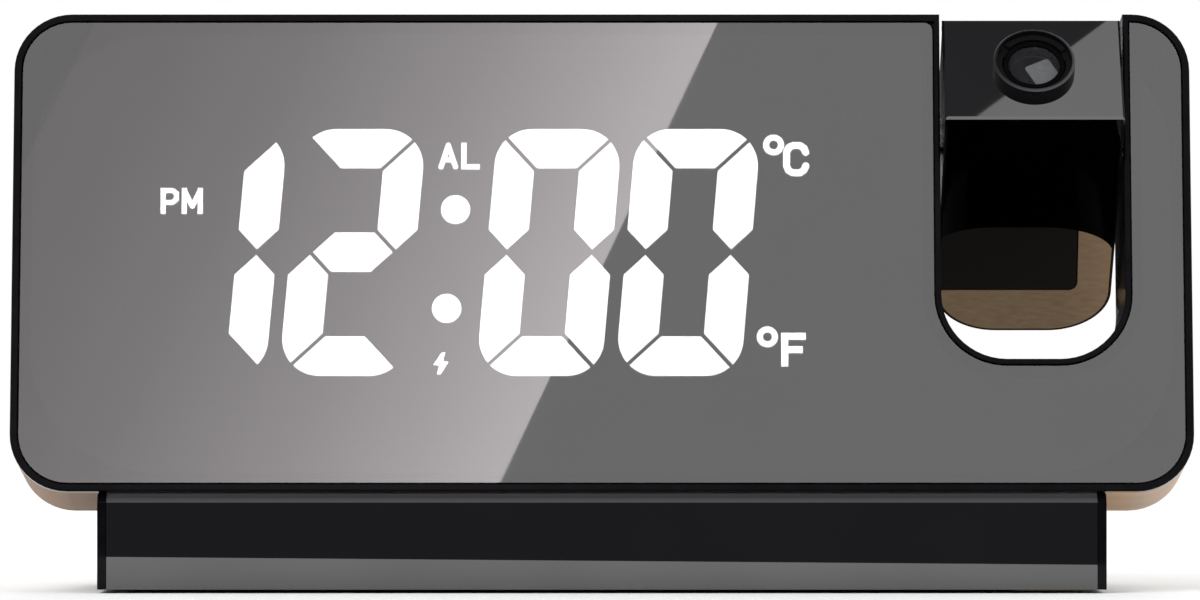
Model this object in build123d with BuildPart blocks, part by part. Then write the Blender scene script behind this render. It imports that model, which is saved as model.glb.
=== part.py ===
"""Projection alarm clock: a leaning mirror-faced body on a wedge base, with a
projector arm that turns in a slot at the right.

Frame: +X to the right as seen from the front, +Y away from the viewer, +Z up.
The origin is the middle of the anti-slip pad's underside. Millimetres, degrees.
"""

from math import asin, atan2, cos, degrees, radians, sin, sqrt, tan

import os

from build123d import *

os.makedirs("parts", exist_ok=True)

# ---------------------------------------------------------------- general fits
FIT = 0.1  # gap between two pieces of the same assembly
PLAY = 0.3  # gap between two pieces that move past each other
RUNNING_FIT = 0.05  # radial gap of a shaft in its bush
THREAD_FIT = 0.03  # radial gap of a screw in its pilot hole

# ---------------------------------------------------------------- base
BASE_WIDTH = 160.0
BASE_DEPTH = 42.0
BASE_HEIGHT = 15.6  # at the front, from the underside to the body's front edge
BASE_WALL = 2.0
BASE_CORNER = 1.5
BASE_EDGE = 0.4  # rounding of the housing's top edges
PAD_PROUD = 0.6  # how far the rubber pad lifts the base off the table
PAD_THICKNESS = 1.4
PAD_CORNER = 2.0
PAD_INSET_X = 14.0  # pad's ends, in from the base's ends
PAD_INSET_Y = 10.0
FASCIA_BEVEL = 1.8  # bevelled top edge of the front plate
FASCIA_THICKNESS = 2.2
FASCIA_RIM = 1.35  # width of the housing left showing at each end
COVER_THICKNESS = 1.8
BALLAST_INSET_X = 24.0
BALLAST_INSET_Y = 9.0
BALLAST_THICKNESS = 3.0
COVER_SCREW_INSET_X = 5.5
COVER_SCREW_INSET_Y = 7.5
COVER_BOSS_RADIUS = 2.6

# ---------------------------------------------------------------- body
BODY_WIDTH = 188.0
BODY_HEIGHT = 77.2
BODY_DEPTH = 23.0
LEAN = 9.7  # the mirror face leans back by this angle
CORNER_RADIUS = 9.2
WALL = 2.0
EDGE_ROUND = 1.2  # rounding of the back edge
FRONT_ROUND = 0.3  # rounding of the front edge and of the slot's front edge
RIM = 1.1  # black border round the mirror
RIM_DEPTH = 1.8
LEDGE = 2.0  # seat behind the mirror's edge
LIP = 1.1  # wall of the rear shell where it laps the bezel
LAP = 3.2  # depth of that lap
WINDOW_RADIUS = 20.0  # the seat widens at the corners, to carry the posts
MIRROR_THICKNESS = 1.0
MIRROR_RECESS = 0.15
MIRROR_BEVEL = 0.2  # polished edge of the mirror
MIRROR_TIP_RADIUS = 1.5  # rounded corner of the mirror beside the slot

# ---------------------------------------------------------------- slot and arm
SLOT_INSET = 25.3  # middle of the slot, in from the body's right edge
SLOT_WIDTH = 29.3
SLOT_DEPTH = 55.9
SLOT_RADIUS = 10.4
COLLAR = 0.85  # wall of the slot's lining
ARM_GAP = 0.4  # between the arm and each side of the slot
ARM_SWING_GAP = 0.5  # between the arm's sweeping end and the slot's floor
ARM_THICKNESS = 20.8
PIVOT_DROP = 17.9  # pivot axis below the body's top edge
PIVOT_BEHIND = 11.2  # pivot axis behind the body's face
TURN = 60.7  # the arm's turn from closed, as it stands
CASE_WALL = 1.6
CASE_EDGE_ROUND = 1.6
ARM_MIRROR_RIM = 0.4
ARM_MIRROR_THICKNESS = 1.2
END_PLATE = 1.6
END_PLATE_EDGE = 0.35

# ---------------------------------------------------------------- hinge
PIN_RADIUS = 3.0
PIN_BORE = 1.4  # radius of the hole that the wires pass through
PIN_GRIP = 4.2  # length of the pin held in the arm
PIN_HEAD_RADIUS = 5.0
PIN_HEAD = 1.2
BUSH_RADIUS = 4.4
BUSH_FLANGE_RADIUS = 6.0
BUSH_FLANGE = 1.8
WASHER = 0.5
WASHER_RADIUS = 5.6
PIN_BOSS_RADIUS = 5.6

# ---------------------------------------------------------------- projector optics
LENS_FORWARD = 1.4  # lens axis ahead of the middle of the arm's thickness
RING_RADIUS = 6.5
RING_PROUD = 3.7
RING_LEDGE_DROP = 1.0  # step inside the ring, below its rim
RING_RIM = 0.45
RING_BORE = 5.1
RING_CHAMFER = 0.2
RING_SKIRT_RADIUS = 5.75
RING_LIP = 1.0
RING_LIP_RADIUS = 6.6
NOTCH_WIDTH = 2.4
NOTCH_DEPTH = 0.8
NOTCH_ANGLES = (150, 20)
FOCUS_TRAVEL = 1.0  # the lens moves this far each way
CELL_NOSE_RADIUS = 4.8
CELL_RADIUS = 5.3
CELL_FRONT_DROP = 0.2  # lens cell's front below the ring's step
CELL_SHOULDER = 4.6  # depths below the arm's end face
CELL_END = 9.4
CELL_BORE = 4.1
LENS_RADIUS = 4.4
LENS_THICKNESS = 2.2
RETAINER = 0.5
TUBE_TOP = 3.3
TUBE_RADIUS = 6.6
TUBE_END = 12.0
LAMP_HOUSE_SIZE = 15.0
LAMP_HOUSE_END = 22.0
LAMP_CAVITY = 9.4
APERTURE_RADIUS = 3.8
APERTURE_WALL = 1.0
MASK_THICKNESS = 1.4
CONDENSER_THICKNESS = 3.0
CONDENSER_DROP = 3.6  # condenser below the mask's top
LED_SIZE = 3.0
LED_HEIGHT = 1.2
LAMP_BOARD = 1.2
SINK_HEIGHT = 8.0
SINK_BASE = 2.0
SINK_FIN = 1.2
SINK_FINS = 5
CABLE_RADIUS = 1.0
CASE_SCREW_SPACING = 11.0

# ---------------------------------------------------------------- display
TIME_SHIFT = 3.65  # figures' middle, left of the middle of the space beside the slot
TIME_RAISE = 0.1  # figures' middle above the body's middle
DIGIT_WIDTH = 20.0
DIGIT_HEIGHT = 40.0
DIGIT_PITCH = 22.15
PAIR_PITCH = 31.35  # from the second figure to the third
DIGIT_SLANT = 4.9
STROKE = 6.4
SEGMENT_GAP = 0.45
DIGIT_CORNER = 5.5
DIGIT_CORNER_WIDE = 6.6  # upper right and lower left corners, which the slant draws out
DOT_RADIUS = 2.35
DOT_SPACING = 16.0
DOT_DROP = 1.1
SMALL_STROKE = 0.85  # strokes of PM and AL
BOLD_STROKE = 1.15  # strokes of C and F
SEGMENT_THICKNESS = 1.0
REFLECTOR_THICKNESS = 6.0
REFLECTOR_MARGIN = 5.0
DISPLAY_BOARD = 1.6
DISPLAY_LED = 1.6
DISPLAY_LED_HEIGHT = 0.8

# ---------------------------------------------------------------- electronics
MAIN_BOARD = 1.6
MAIN_BOARD_MARGIN = 9.6  # upper and lower edges, in from the body's edges
MAIN_BOARD_GAP = 4.5  # between the two boards
MAIN_BOARD_INSET = 21.0  # left edge, in from the body's left edge
MAIN_BOARD_CLEAR = 6.3  # right edge, short of the hinge
BOARD_POST_RADIUS = 2.4
BOARD_POST_INSET = 3.0
SOCKET_LENGTH = 6.0
SOCKET_WIDTH = 7.0
SOCKET_HEIGHT = 3.9
HEADER_WIDTH = 20.0
HEADER_DEPTH = 2.5
HEADER_INSET = 10.0  # above the main board's lower edge
BATTERY_WIDTH = 52.0
BATTERY_HEIGHT = 34.0
BATTERY_THICKNESS = 4.8
BATTERY_LIFT = 6.2  # above the body's floor
BATTERY_SHIFT = 2.0  # left of the main board's middle
SPEAKER_RADIUS = 8.0
SPEAKER_THICKNESS = 4.5
SPEAKER_INSET = 12.5  # speaker's centre from the body's left edge
GRILLE_HOLE = 0.8
SENSOR_RADIUS = 1.5
SENSOR_LENGTH = 4.4
SENSOR_INSET_X = 12.0  # in from the main board's left edge
SENSOR_INSET_Y = 10.0
VENT_LENGTH = 9.0
VENT_WIDTH = 1.4
VENT_PITCH = 3.0
INLET_WIDTH = 9.0
INLET_HEIGHT = 3.3
INLET_WALL = 0.35
INLET_LENGTH = 7.4
TONGUE_WIDTH = 6.7
TONGUE_THICKNESS = 0.7
INLET_INSET_X = 16.0  # in from the main board's right edge
INLET_INSET_Y = 6.0

# ---------------------------------------------------------------- buttons
BUTTONS = ("mode", "up", "down", "alarm", "projector")
BUTTON_PITCH = 17.0
BUTTON_WIDTH = 10.0
BUTTON_HEIGHT = 5.0
BUTTON_PROUD = 1.0
BUTTON_TRAVEL = 0.7
BUTTON_FLANGE = 0.9
BUTTON_FLANGE_RIM = 0.8
BUTTON_STEM = 1.3
BUTTON_DROP = 19.0  # below the body's top edge
SWITCH_SIZE = 6.0
SWITCH_HEIGHT = 3.4
SWITCH_BORE = 2.2

# ---------------------------------------------------------------- screws
SCREW_RADIUS = 1.25
SCREW_HEAD_RADIUS = 2.3
SCREW_HEAD = 1.3
SCREW_LENGTH = 9.0
SCREW_INSET = 6.5
POST_RADIUS = 2.5
SEAT_PAD_RADIUS = 3.4
SEAT_PAD = 1.4
SMALL_SCREW_RADIUS = 0.9
SMALL_HEAD_RADIUS = 1.7
SMALL_HEAD = 0.9
SMALL_SCREW_LENGTH = 4.6
BODY_SCREW_INSET = 22.0  # outer screws, in from the base's ends
BODY_BOSS_RADIUS = 3.6
BODY_BOSS_ROOF = 2.4  # boss left above each screw's tip
DRIVE_DEPTH = 0.6
DRIVE_WIDTH = 0.5


# ---------------------------------------------------------------- planes
SEAT_HEIGHT = PAD_PROUD + BASE_HEIGHT
FACE = Plane(
    origin=(0, -BASE_DEPTH / 2, SEAT_HEIGHT),
    x_dir=(1, 0, 0),
    z_dir=(0, -cos(radians(LEAN)), sin(radians(LEAN))),
)
UNDER = Plane(origin=FACE.origin, x_dir=(1, 0, 0), z_dir=FACE.y_dir)
SLOT_X = BODY_WIDTH / 2 - SLOT_INSET
PIVOT = FACE.from_local_coords((SLOT_X, BODY_HEIGHT - PIVOT_DROP, -PIVOT_BEHIND))
ARM = Plane(origin=PIVOT, x_dir=(1, 0, 0), z_dir=FACE.z_dir).rotated((TURN, 0, 0))
LENS_W = PIVOT_BEHIND - ARM_THICKNESS / 2 + LENS_FORWARD
END = Plane(
    origin=ARM.from_local_coords((0, PIVOT_DROP, LENS_W)), x_dir=(1, 0, 0), z_dir=ARM.y_dir
)
AXLE = Plane(origin=PIVOT, x_dir=ARM.y_dir, z_dir=(1, 0, 0))

# ---------------------------------------------------------------- worked-out sizes
MIRROR_BACK = MIRROR_RECESS + MIRROR_THICKNESS
DISPLAY_FRONT = MIRROR_BACK + FIT
DISPLAY_BOARD_FRONT = DISPLAY_FRONT + REFLECTOR_THICKNESS
DISPLAY_BOARD_BACK = DISPLAY_BOARD_FRONT + DISPLAY_BOARD
MAIN_BOARD_FRONT = DISPLAY_BOARD_BACK + MAIN_BOARD_GAP
MAIN_BOARD_BACK = MAIN_BOARD_FRONT + MAIN_BOARD
BACK_INSIDE = BODY_DEPTH - WALL
SLOT_LEFT = SLOT_X - SLOT_WIDTH / 2 - COLLAR
TIME_X = (SLOT_LEFT - BODY_WIDTH / 2) / 2 - TIME_SHIFT
TIME_Y = BODY_HEIGHT / 2 + TIME_RAISE
HINGE_REACH = BUSH_FLANGE + FIT + WASHER + PIN_HEAD  # inside the body, from the slot's wall
MAIN_BOARD_LEFT = MAIN_BOARD_INSET - BODY_WIDTH / 2
MAIN_BOARD_RIGHT = SLOT_LEFT - HINGE_REACH - MAIN_BOARD_CLEAR
MAIN_BOARD_WIDTH = MAIN_BOARD_RIGHT - MAIN_BOARD_LEFT
MAIN_BOARD_X = (MAIN_BOARD_LEFT + MAIN_BOARD_RIGHT) / 2
MAIN_BOARD_Y = BODY_HEIGHT / 2
MAIN_BOARD_HEIGHT = BODY_HEIGHT - 2 * MAIN_BOARD_MARGIN
BODY_BOSS_TOP = MAIN_BOARD_MARGIN - PLAY
BODY_SCREW_GRIP = BODY_BOSS_TOP - BODY_BOSS_ROOF
ARM_WIDTH = SLOT_WIDTH - 2 * ARM_GAP
ARM_RADIUS = SLOT_RADIUS - ARM_GAP
ARM_REACH = sqrt((SLOT_DEPTH - PIVOT_DROP - ARM_SWING_GAP) ** 2 - PIVOT_BEHIND**2)
CASE_TOP = PIVOT_DROP - END_PLATE
CASE_BACK = ARM_THICKNESS - PIVOT_BEHIND
SLANT = tan(radians(DIGIT_SLANT))
DIGIT_X = [
    TIME_X - PAIR_PITCH / 2 - DIGIT_PITCH,
    TIME_X - PAIR_PITCH / 2,
    TIME_X + PAIR_PITCH / 2,
    TIME_X + PAIR_PITCH / 2 + DIGIT_PITCH,
]
COVER_TOP = PAD_PROUD + COVER_THICKNESS


# ---------------------------------------------------------------- helpers
def behind(depth):
    """Plane parallel to the mirror face, this far behind it."""
    return FACE.offset(-depth)


def save(builder, label):
    """Name a finished piece and write it as one STEP file."""
    builder.part.label = label
    export_step(builder.part, f"parts/{label}.step")


def body_outline(inset, radius=None, mode=Mode.ADD):
    """Rounded outline of the body, drawn in from its edge by inset."""
    corner = CORNER_RADIUS - inset if radius is None else radius
    with Locations((0, BODY_HEIGHT / 2)):
        RectangleRounded(BODY_WIDTH - 2 * inset, BODY_HEIGHT - 2 * inset, corner, mode=mode)


def slot_outline(grow, mode=Mode.SUBTRACT):
    """U-shaped outline of the slot, grown by grow and open past the body's top."""
    bottom = BODY_HEIGHT - SLOT_DEPTH - grow
    top = BODY_HEIGHT + 2 * SLOT_RADIUS + grow
    with Locations((SLOT_X, (bottom + top) / 2)):
        RectangleRounded(SLOT_WIDTH + 2 * grow, top - bottom, SLOT_RADIUS + grow, mode=mode)


def arm_outline(inset, top, mode=Mode.ADD):
    """Arm seen from its front: square at the head, round at the lower corners."""
    width = ARM_WIDTH - 2 * inset
    length = top + ARM_REACH - inset
    with Locations((0, top - length / 2)):
        RectangleRounded(width, length, ARM_RADIUS - inset, mode=mode)
    with Locations((0, top - length / 4)):
        Rectangle(width, length / 2, mode=mode)


def cross_drive(plane, spots):
    """Cross-shaped recess of a screw head, cut into the current part."""
    arm = 2.4 * SCREW_RADIUS
    with BuildSketch(plane) as recess:
        with Locations(*spots):
            Rectangle(arm, DRIVE_WIDTH)
            Rectangle(DRIVE_WIDTH, arm)
    extrude(recess.sketch, amount=-DRIVE_DEPTH, mode=Mode.SUBTRACT)


def screws(plane, spots, radius, length, head_radius, head):
    """Pan-head screws whose heads stand on the plane, shanks going into it."""
    with BuildPart() as made:
        with BuildSketch(plane) as heads:
            with Locations(*spots):
                Circle(head_radius)
        extrude(heads.sketch, amount=head)
        with BuildSketch(plane) as shanks:
            with Locations(*spots):
                Circle(radius)
        extrude(shanks.sketch, amount=-length)
        cross_drive(plane.offset(head), spots)
    return made


# ---------------------------------------------------------------- figures and signs
def lean_over(x, y):
    """Point of an upright figure, leant over by the display's slant."""
    return (x + y * SLANT, y)


def rounded_corner(side, flip):
    """Radius of a figure's corner, and its arc's start and middle beside the mitre gap.

    The two points are given as distances from the corner's two edges: the edge that the
    bar runs along last.
    """
    radius = DIGIT_CORNER_WIDE if side * flip > 0 else DIGIT_CORNER
    reach = sqrt(radius**2 / 2 - SEGMENT_GAP**2 / 4)
    start = (radius + SEGMENT_GAP / 2 - reach, radius - SEGMENT_GAP / 2 - reach)
    half_angle = asin((radius - start[0]) / radius) / 2
    middle = (radius * (1 - sin(half_angle)), radius * (1 - cos(half_angle)))
    return radius, start, middle


def top_bar(flip):
    """Top bar of a seven-segment figure, or the bottom bar where flip is -1."""
    half_w, half_h, gap = DIGIT_WIDTH / 2, DIGIT_HEIGHT / 2, SEGMENT_GAP

    def at(x, y):
        return lean_over(x, flip * (half_h - y))

    radius, start, middle = rounded_corner(-1, flip)
    left = [at(x - half_w, y) for x, y in (start, middle, (radius, 0))]
    radius, start, middle = rounded_corner(1, flip)
    right = [at(half_w - x, y) for x, y in ((radius, 0), middle, start)]
    inner_right = at(half_w - STROKE - gap, STROKE)
    inner_left = at(STROKE + gap - half_w, STROKE)
    with BuildSketch() as bar:
        with BuildLine():
            ThreePointArc(*left)
            Line(left[2], right[0])
            ThreePointArc(*right)
            Polyline(right[2], inner_right, inner_left, left[0])
        make_face()
    return bar.sketch


def side_bar(side, flip):
    """Upright bar: side is -1 at the left and 1 at the right, flip as in top_bar."""
    half_w, half_h, gap = DIGIT_WIDTH / 2, DIGIT_HEIGHT / 2, SEGMENT_GAP
    radius, (y1, x1), (ym, xm) = rounded_corner(side, flip)
    foot = gap + STROKE / 2

    def at(x, y):
        return lean_over(side * (half_w - x), flip * y)

    with BuildSketch() as bar:
        with BuildLine():
            start = at(x1, half_h - y1)
            end = at(0, half_h - radius)
            ThreePointArc(start, at(xm, half_h - ym), end)
            Polyline(
                end,
                at(0, foot),
                at(STROKE / 2, gap),
                at(STROKE, foot),
                at(STROKE, half_h - STROKE - gap),
                start,
            )
        make_face()
    return bar.sketch


def middle_bar():
    """Six-sided bar across the middle of a figure."""
    tip = DIGIT_WIDTH / 2 - STROKE / 2 - SEGMENT_GAP
    shoulder = tip - STROKE / 2
    half = STROKE / 2
    corners = [
        (-tip, 0), (-shoulder, -half), (shoulder, -half), (tip, 0), (shoulder, half), (-shoulder, half),
    ]
    with BuildSketch() as bar:
        with BuildLine():
            Polyline([lean_over(x, y) for x, y in corners], close=True)
        make_face()
    return bar.sketch


SEGMENTS = {
    "top": top_bar(1),
    "bottom": top_bar(-1),
    "middle": middle_bar(),
    "upper_left": side_bar(-1, 1),
    "upper_right": side_bar(1, 1),
    "lower_left": side_bar(-1, -1),
    "lower_right": side_bar(1, -1),
}
SEGMENT_CENTRES = {
    "top": (0, (DIGIT_HEIGHT - STROKE) / 2),
    "bottom": (0, (STROKE - DIGIT_HEIGHT) / 2),
    "middle": (0, 0),
    "upper_left": ((STROKE - DIGIT_WIDTH) / 2, DIGIT_HEIGHT / 4),
    "upper_right": ((DIGIT_WIDTH - STROKE) / 2, DIGIT_HEIGHT / 4),
    "lower_left": ((STROKE - DIGIT_WIDTH) / 2, -DIGIT_HEIGHT / 4),
    "lower_right": ((DIGIT_WIDTH - STROKE) / 2, -DIGIT_HEIGHT / 4),
}
RIGHT_SIDE = ("upper_right", "lower_right")
RING_OF_SIX = ("top", "bottom", "upper_left", "upper_right", "lower_left", "lower_right")
LIT = (RIGHT_SIDE, ("top", "upper_right", "middle", "lower_left", "bottom"), RING_OF_SIX, RING_OF_SIX)
UNLIT = ((), ("upper_left", "lower_right"), ("middle",), ("middle",))

# Strokes of the small signs, each in a box of width 1 and height 1. A stroke of more than
# five points is a curve, and gets round joints.
SIGN_STROKES = {
    "P": [[(0, 0), (0, 1)], [(0, 1), (0.7, 1), (1, 0.87), (1, 0.57), (0.7, 0.43), (0, 0.43)]],
    "M": [[(0, 0), (0, 1), (0.5, 0.25), (1, 1), (1, 0)]],
    "A": [[(0, 0), (0.5, 1), (1, 0)], [(0.2, 0.32), (0.8, 0.32)]],
    "L": [[(0, 1), (0, 0), (1, 0)]],
    "C": [
        [
            (1, 0.75), (0.9, 0.91), (0.68, 1), (0.32, 1), (0.1, 0.91), (0, 0.75),
            (0, 0.25), (0.1, 0.09), (0.32, 0), (0.68, 0), (0.9, 0.09), (1, 0.25),
        ],
    ],
    "F": [[(0, 0), (0, 1), (1, 1)], [(0, 0.5), (0.82, 0.5)]],
}
BOLT = [
    (0.15, 1.75), (0.75, 1.75), (0.42, 0.35), (1.3, 0.25),
    (0.0, -1.8), (-0.6, -1.8), (-0.28, -0.4), (-1.2, -0.25),
]
# Each sign's letters with centre from the display's middle, width, height and stroke.
SIGNS = [
    ("P", -44.95, 8.3, 2.1, 3.4, SMALL_STROKE),
    ("M", -41.35, 8.3, 2.55, 3.4, SMALL_STROKE),
    ("A", -0.5, 15.6, 2.3, 3.5, SMALL_STROKE),
    ("L", 3.05, 15.6, 2.1, 3.5, SMALL_STROKE),
    ("C", 55.1, 15.1, 3.05, 4.45, BOLD_STROKE),
    ("F", 54.55, -15.75, 2.8, 4.3, BOLD_STROKE),
]
DEGREE_RINGS = [(51.5, 17.4), (50.4, -13.7)]
DEGREE_OUTER = 1.7
DEGREE_INNER = 0.7
BOLT_PLACE = (-1.6, -17.95)
SIGN_CENTRES = [(-43.2, 8.1), (1.2, 15.5), (53.6, 15.6), (52.7, -15.3), BOLT_PLACE]
SIGN_CAVITIES = [(8.4, 5.6), (8.6, 5.6), (8.1, 7.6), (9.0, 7.4), (4.6, 5.6)]


def letter(name, width, height, thickness):
    """One letter built from straight strokes, centred on the origin."""
    with BuildSketch() as made:
        for stroke in SIGN_STROKES[name]:
            points = [Vector((x - 0.5) * width, (y - 0.5) * height) for x, y in stroke]
            for start, end in zip(points, points[1:]):
                along = end - start
                angle = degrees(atan2(along.Y, along.X))
                with Locations(Location((start + end) / 2, (0, 0, angle))):
                    if len(stroke) > 5 or (along.X and along.Y):
                        SlotCenterToCenter(along.length, thickness)
                    else:
                        Rectangle(along.length + thickness, thickness)
    return made.sketch


def figures(chosen):
    """Segments of the four figures in place; chosen names the segments of each."""
    with BuildSketch() as made:
        for x, names in zip(DIGIT_X, chosen):
            with Locations((x, TIME_Y)):
                for name in names:
                    add(SEGMENTS[name])
    return made.sketch


def colon_and_signs():
    """Colon dots, letters, degree rings and the charging bolt, in place."""
    with BuildSketch() as made:
        for side in (1, -1):
            x, y = lean_over(0, side * DOT_SPACING / 2)
            with Locations((TIME_X + x, TIME_Y - DOT_DROP + y)):
                Circle(DOT_RADIUS)
        for name, x, y, width, height, thickness in SIGNS:
            with Locations((TIME_X + x, TIME_Y + y)):
                add(letter(name, width, height, thickness))
        for x, y in DEGREE_RINGS:
            with Locations((TIME_X + x, TIME_Y + y)):
                Circle(DEGREE_OUTER)
                Circle(DEGREE_INNER, mode=Mode.SUBTRACT)
        with Locations((TIME_X + BOLT_PLACE[0], TIME_Y + BOLT_PLACE[1])):
            Polygon(*BOLT, align=None)
    return made.sketch


def sign_cavities():
    """Rectangles that hold the small signs, and the colon's two round wells."""
    with BuildSketch() as made:
        for (x, y), (width, height) in zip(SIGN_CENTRES, SIGN_CAVITIES):
            with Locations((TIME_X + x, TIME_Y + y)):
                Rectangle(width, height)
        for side in (1, -1):
            x, y = lean_over(0, side * DOT_SPACING / 2)
            with Locations((TIME_X + x, TIME_Y - DOT_DROP + y)):
                Circle(DOT_RADIUS)
    return made.sketch


# ---------------------------------------------------------------- places
def corner_spots(inset):
    """Four screw places, set in from the body's corners."""
    x = BODY_WIDTH / 2 - inset
    return [(-x, inset), (x, inset), (-x, BODY_HEIGHT - inset), (x, BODY_HEIGHT - inset)]


BUTTON_Y = BODY_HEIGHT - BUTTON_DROP
BUTTON_X = [MAIN_BOARD_X + (i - (len(BUTTONS) - 1) / 2) * BUTTON_PITCH for i in range(len(BUTTONS))]
BOARD_SPOTS = [
    (x, MAIN_BOARD_Y + j * (MAIN_BOARD_HEIGHT / 2 - BOARD_POST_INSET))
    for x in (MAIN_BOARD_LEFT + BOARD_POST_INSET, MAIN_BOARD_RIGHT - BOARD_POST_INSET)
    for j in (-1, 1)
]
SPEAKER_PLACE = (SPEAKER_INSET - BODY_WIDTH / 2, TIME_Y)
SENSOR_PLACE = (MAIN_BOARD_LEFT + SENSOR_INSET_X, MAIN_BOARD_MARGIN + SENSOR_INSET_Y)
INLET_PLACE = (MAIN_BOARD_RIGHT - INLET_INSET_X, MAIN_BOARD_MARGIN + INLET_INSET_Y)
BATTERY_PLACE = (MAIN_BOARD_X - BATTERY_SHIFT, WALL + BATTERY_LIFT + BATTERY_HEIGHT / 2)
BODY_SCREW_X = BASE_WIDTH / 2 - BODY_SCREW_INSET
BODY_SCREW_SPOTS = [(x, BODY_DEPTH / 2) for x in (-BODY_SCREW_X, 0, BODY_SCREW_X)]
COVER_SPOTS = [
    (i * (BASE_WIDTH / 2 - COVER_SCREW_INSET_X), j * (BASE_DEPTH / 2 - COVER_SCREW_INSET_Y))
    for i in (-1, 1)
    for j in (-1, 1)
]
PAD_SIZE = (BASE_WIDTH - 2 * PAD_INSET_X, BASE_DEPTH - 2 * PAD_INSET_Y)
BALLAST_SIZE = (BASE_WIDTH - 2 * BALLAST_INSET_X, BASE_DEPTH - 2 * BALLAST_INSET_Y)

# ================================================================ body
with BuildPart() as front_bezel:
    with BuildSketch(FACE):
        body_outline(0)
    extrude(amount=-RIM_DEPTH)
    with BuildSketch(behind(RIM_DEPTH)):
        body_outline(LIP + FIT)
    extrude(amount=-LAP)
    with BuildSketch(FACE):
        body_outline(RIM + LEDGE, radius=WINDOW_RADIUS)
        slot_outline(COLLAR + LEDGE)
    extrude(amount=-(RIM_DEPTH + LAP), mode=Mode.SUBTRACT)
    with BuildSketch(behind(RIM_DEPTH)):
        with Locations(*corner_spots(SCREW_INSET)):
            Circle(POST_RADIUS)
    extrude(amount=-(BACK_INSIDE - SEAT_PAD - FIT - RIM_DEPTH))
    # The slot's lining runs through the body, from the face to the back.
    with BuildSketch(FACE):
        slot_outline(COLLAR, mode=Mode.ADD)
        body_outline(0, mode=Mode.INTERSECT)
    extrude(amount=-BODY_DEPTH)
    with BuildSketch(FACE):
        body_outline(RIM)
        slot_outline(COLLAR)
    extrude(amount=-MIRROR_BACK, mode=Mode.SUBTRACT)
    with BuildSketch(FACE.offset(WALL)):
        slot_outline(0, mode=Mode.ADD)
    extrude(amount=-(BODY_DEPTH + 2 * WALL), mode=Mode.SUBTRACT)
    with BuildSketch(AXLE):
        Circle(BUSH_RADIUS + FIT)
    extrude(amount=SLOT_WIDTH / 2 + COLLAR + WALL, both=True, mode=Mode.SUBTRACT)
    with BuildSketch(behind(BACK_INSIDE - SEAT_PAD - FIT)):
        with Locations(*corner_spots(SCREW_INSET)):
            Circle(SCREW_RADIUS + THREAD_FIT)
    extrude(amount=SCREW_LENGTH, mode=Mode.SUBTRACT)
    rim_face = front_bezel.faces().sort_by(Axis(FACE.origin, FACE.z_dir))[-1]
    fillet(rim_face.outer_wire().edges(), FRONT_ROUND)
save(front_bezel, "front_bezel")

with BuildPart() as mirror_panel:
    with BuildSketch(behind(MIRROR_RECESS)):
        body_outline(RIM + FIT)
        slot_outline(COLLAR + FIT)
    extrude(amount=-MIRROR_THICKNESS)
    tip = FACE.from_local_coords((SLOT_LEFT, BODY_HEIGHT - RIM, 0))
    upright = mirror_panel.edges().filter_by(Axis(FACE.origin, FACE.z_dir))
    fillet(upright.sort_by_distance(tip)[0], MIRROR_TIP_RADIUS)
    mirror_front = mirror_panel.faces().sort_by(Axis(FACE.origin, FACE.z_dir))[-1]
    chamfer(mirror_front.edges(), MIRROR_BEVEL)
save(mirror_panel, "mirror_panel")

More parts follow.
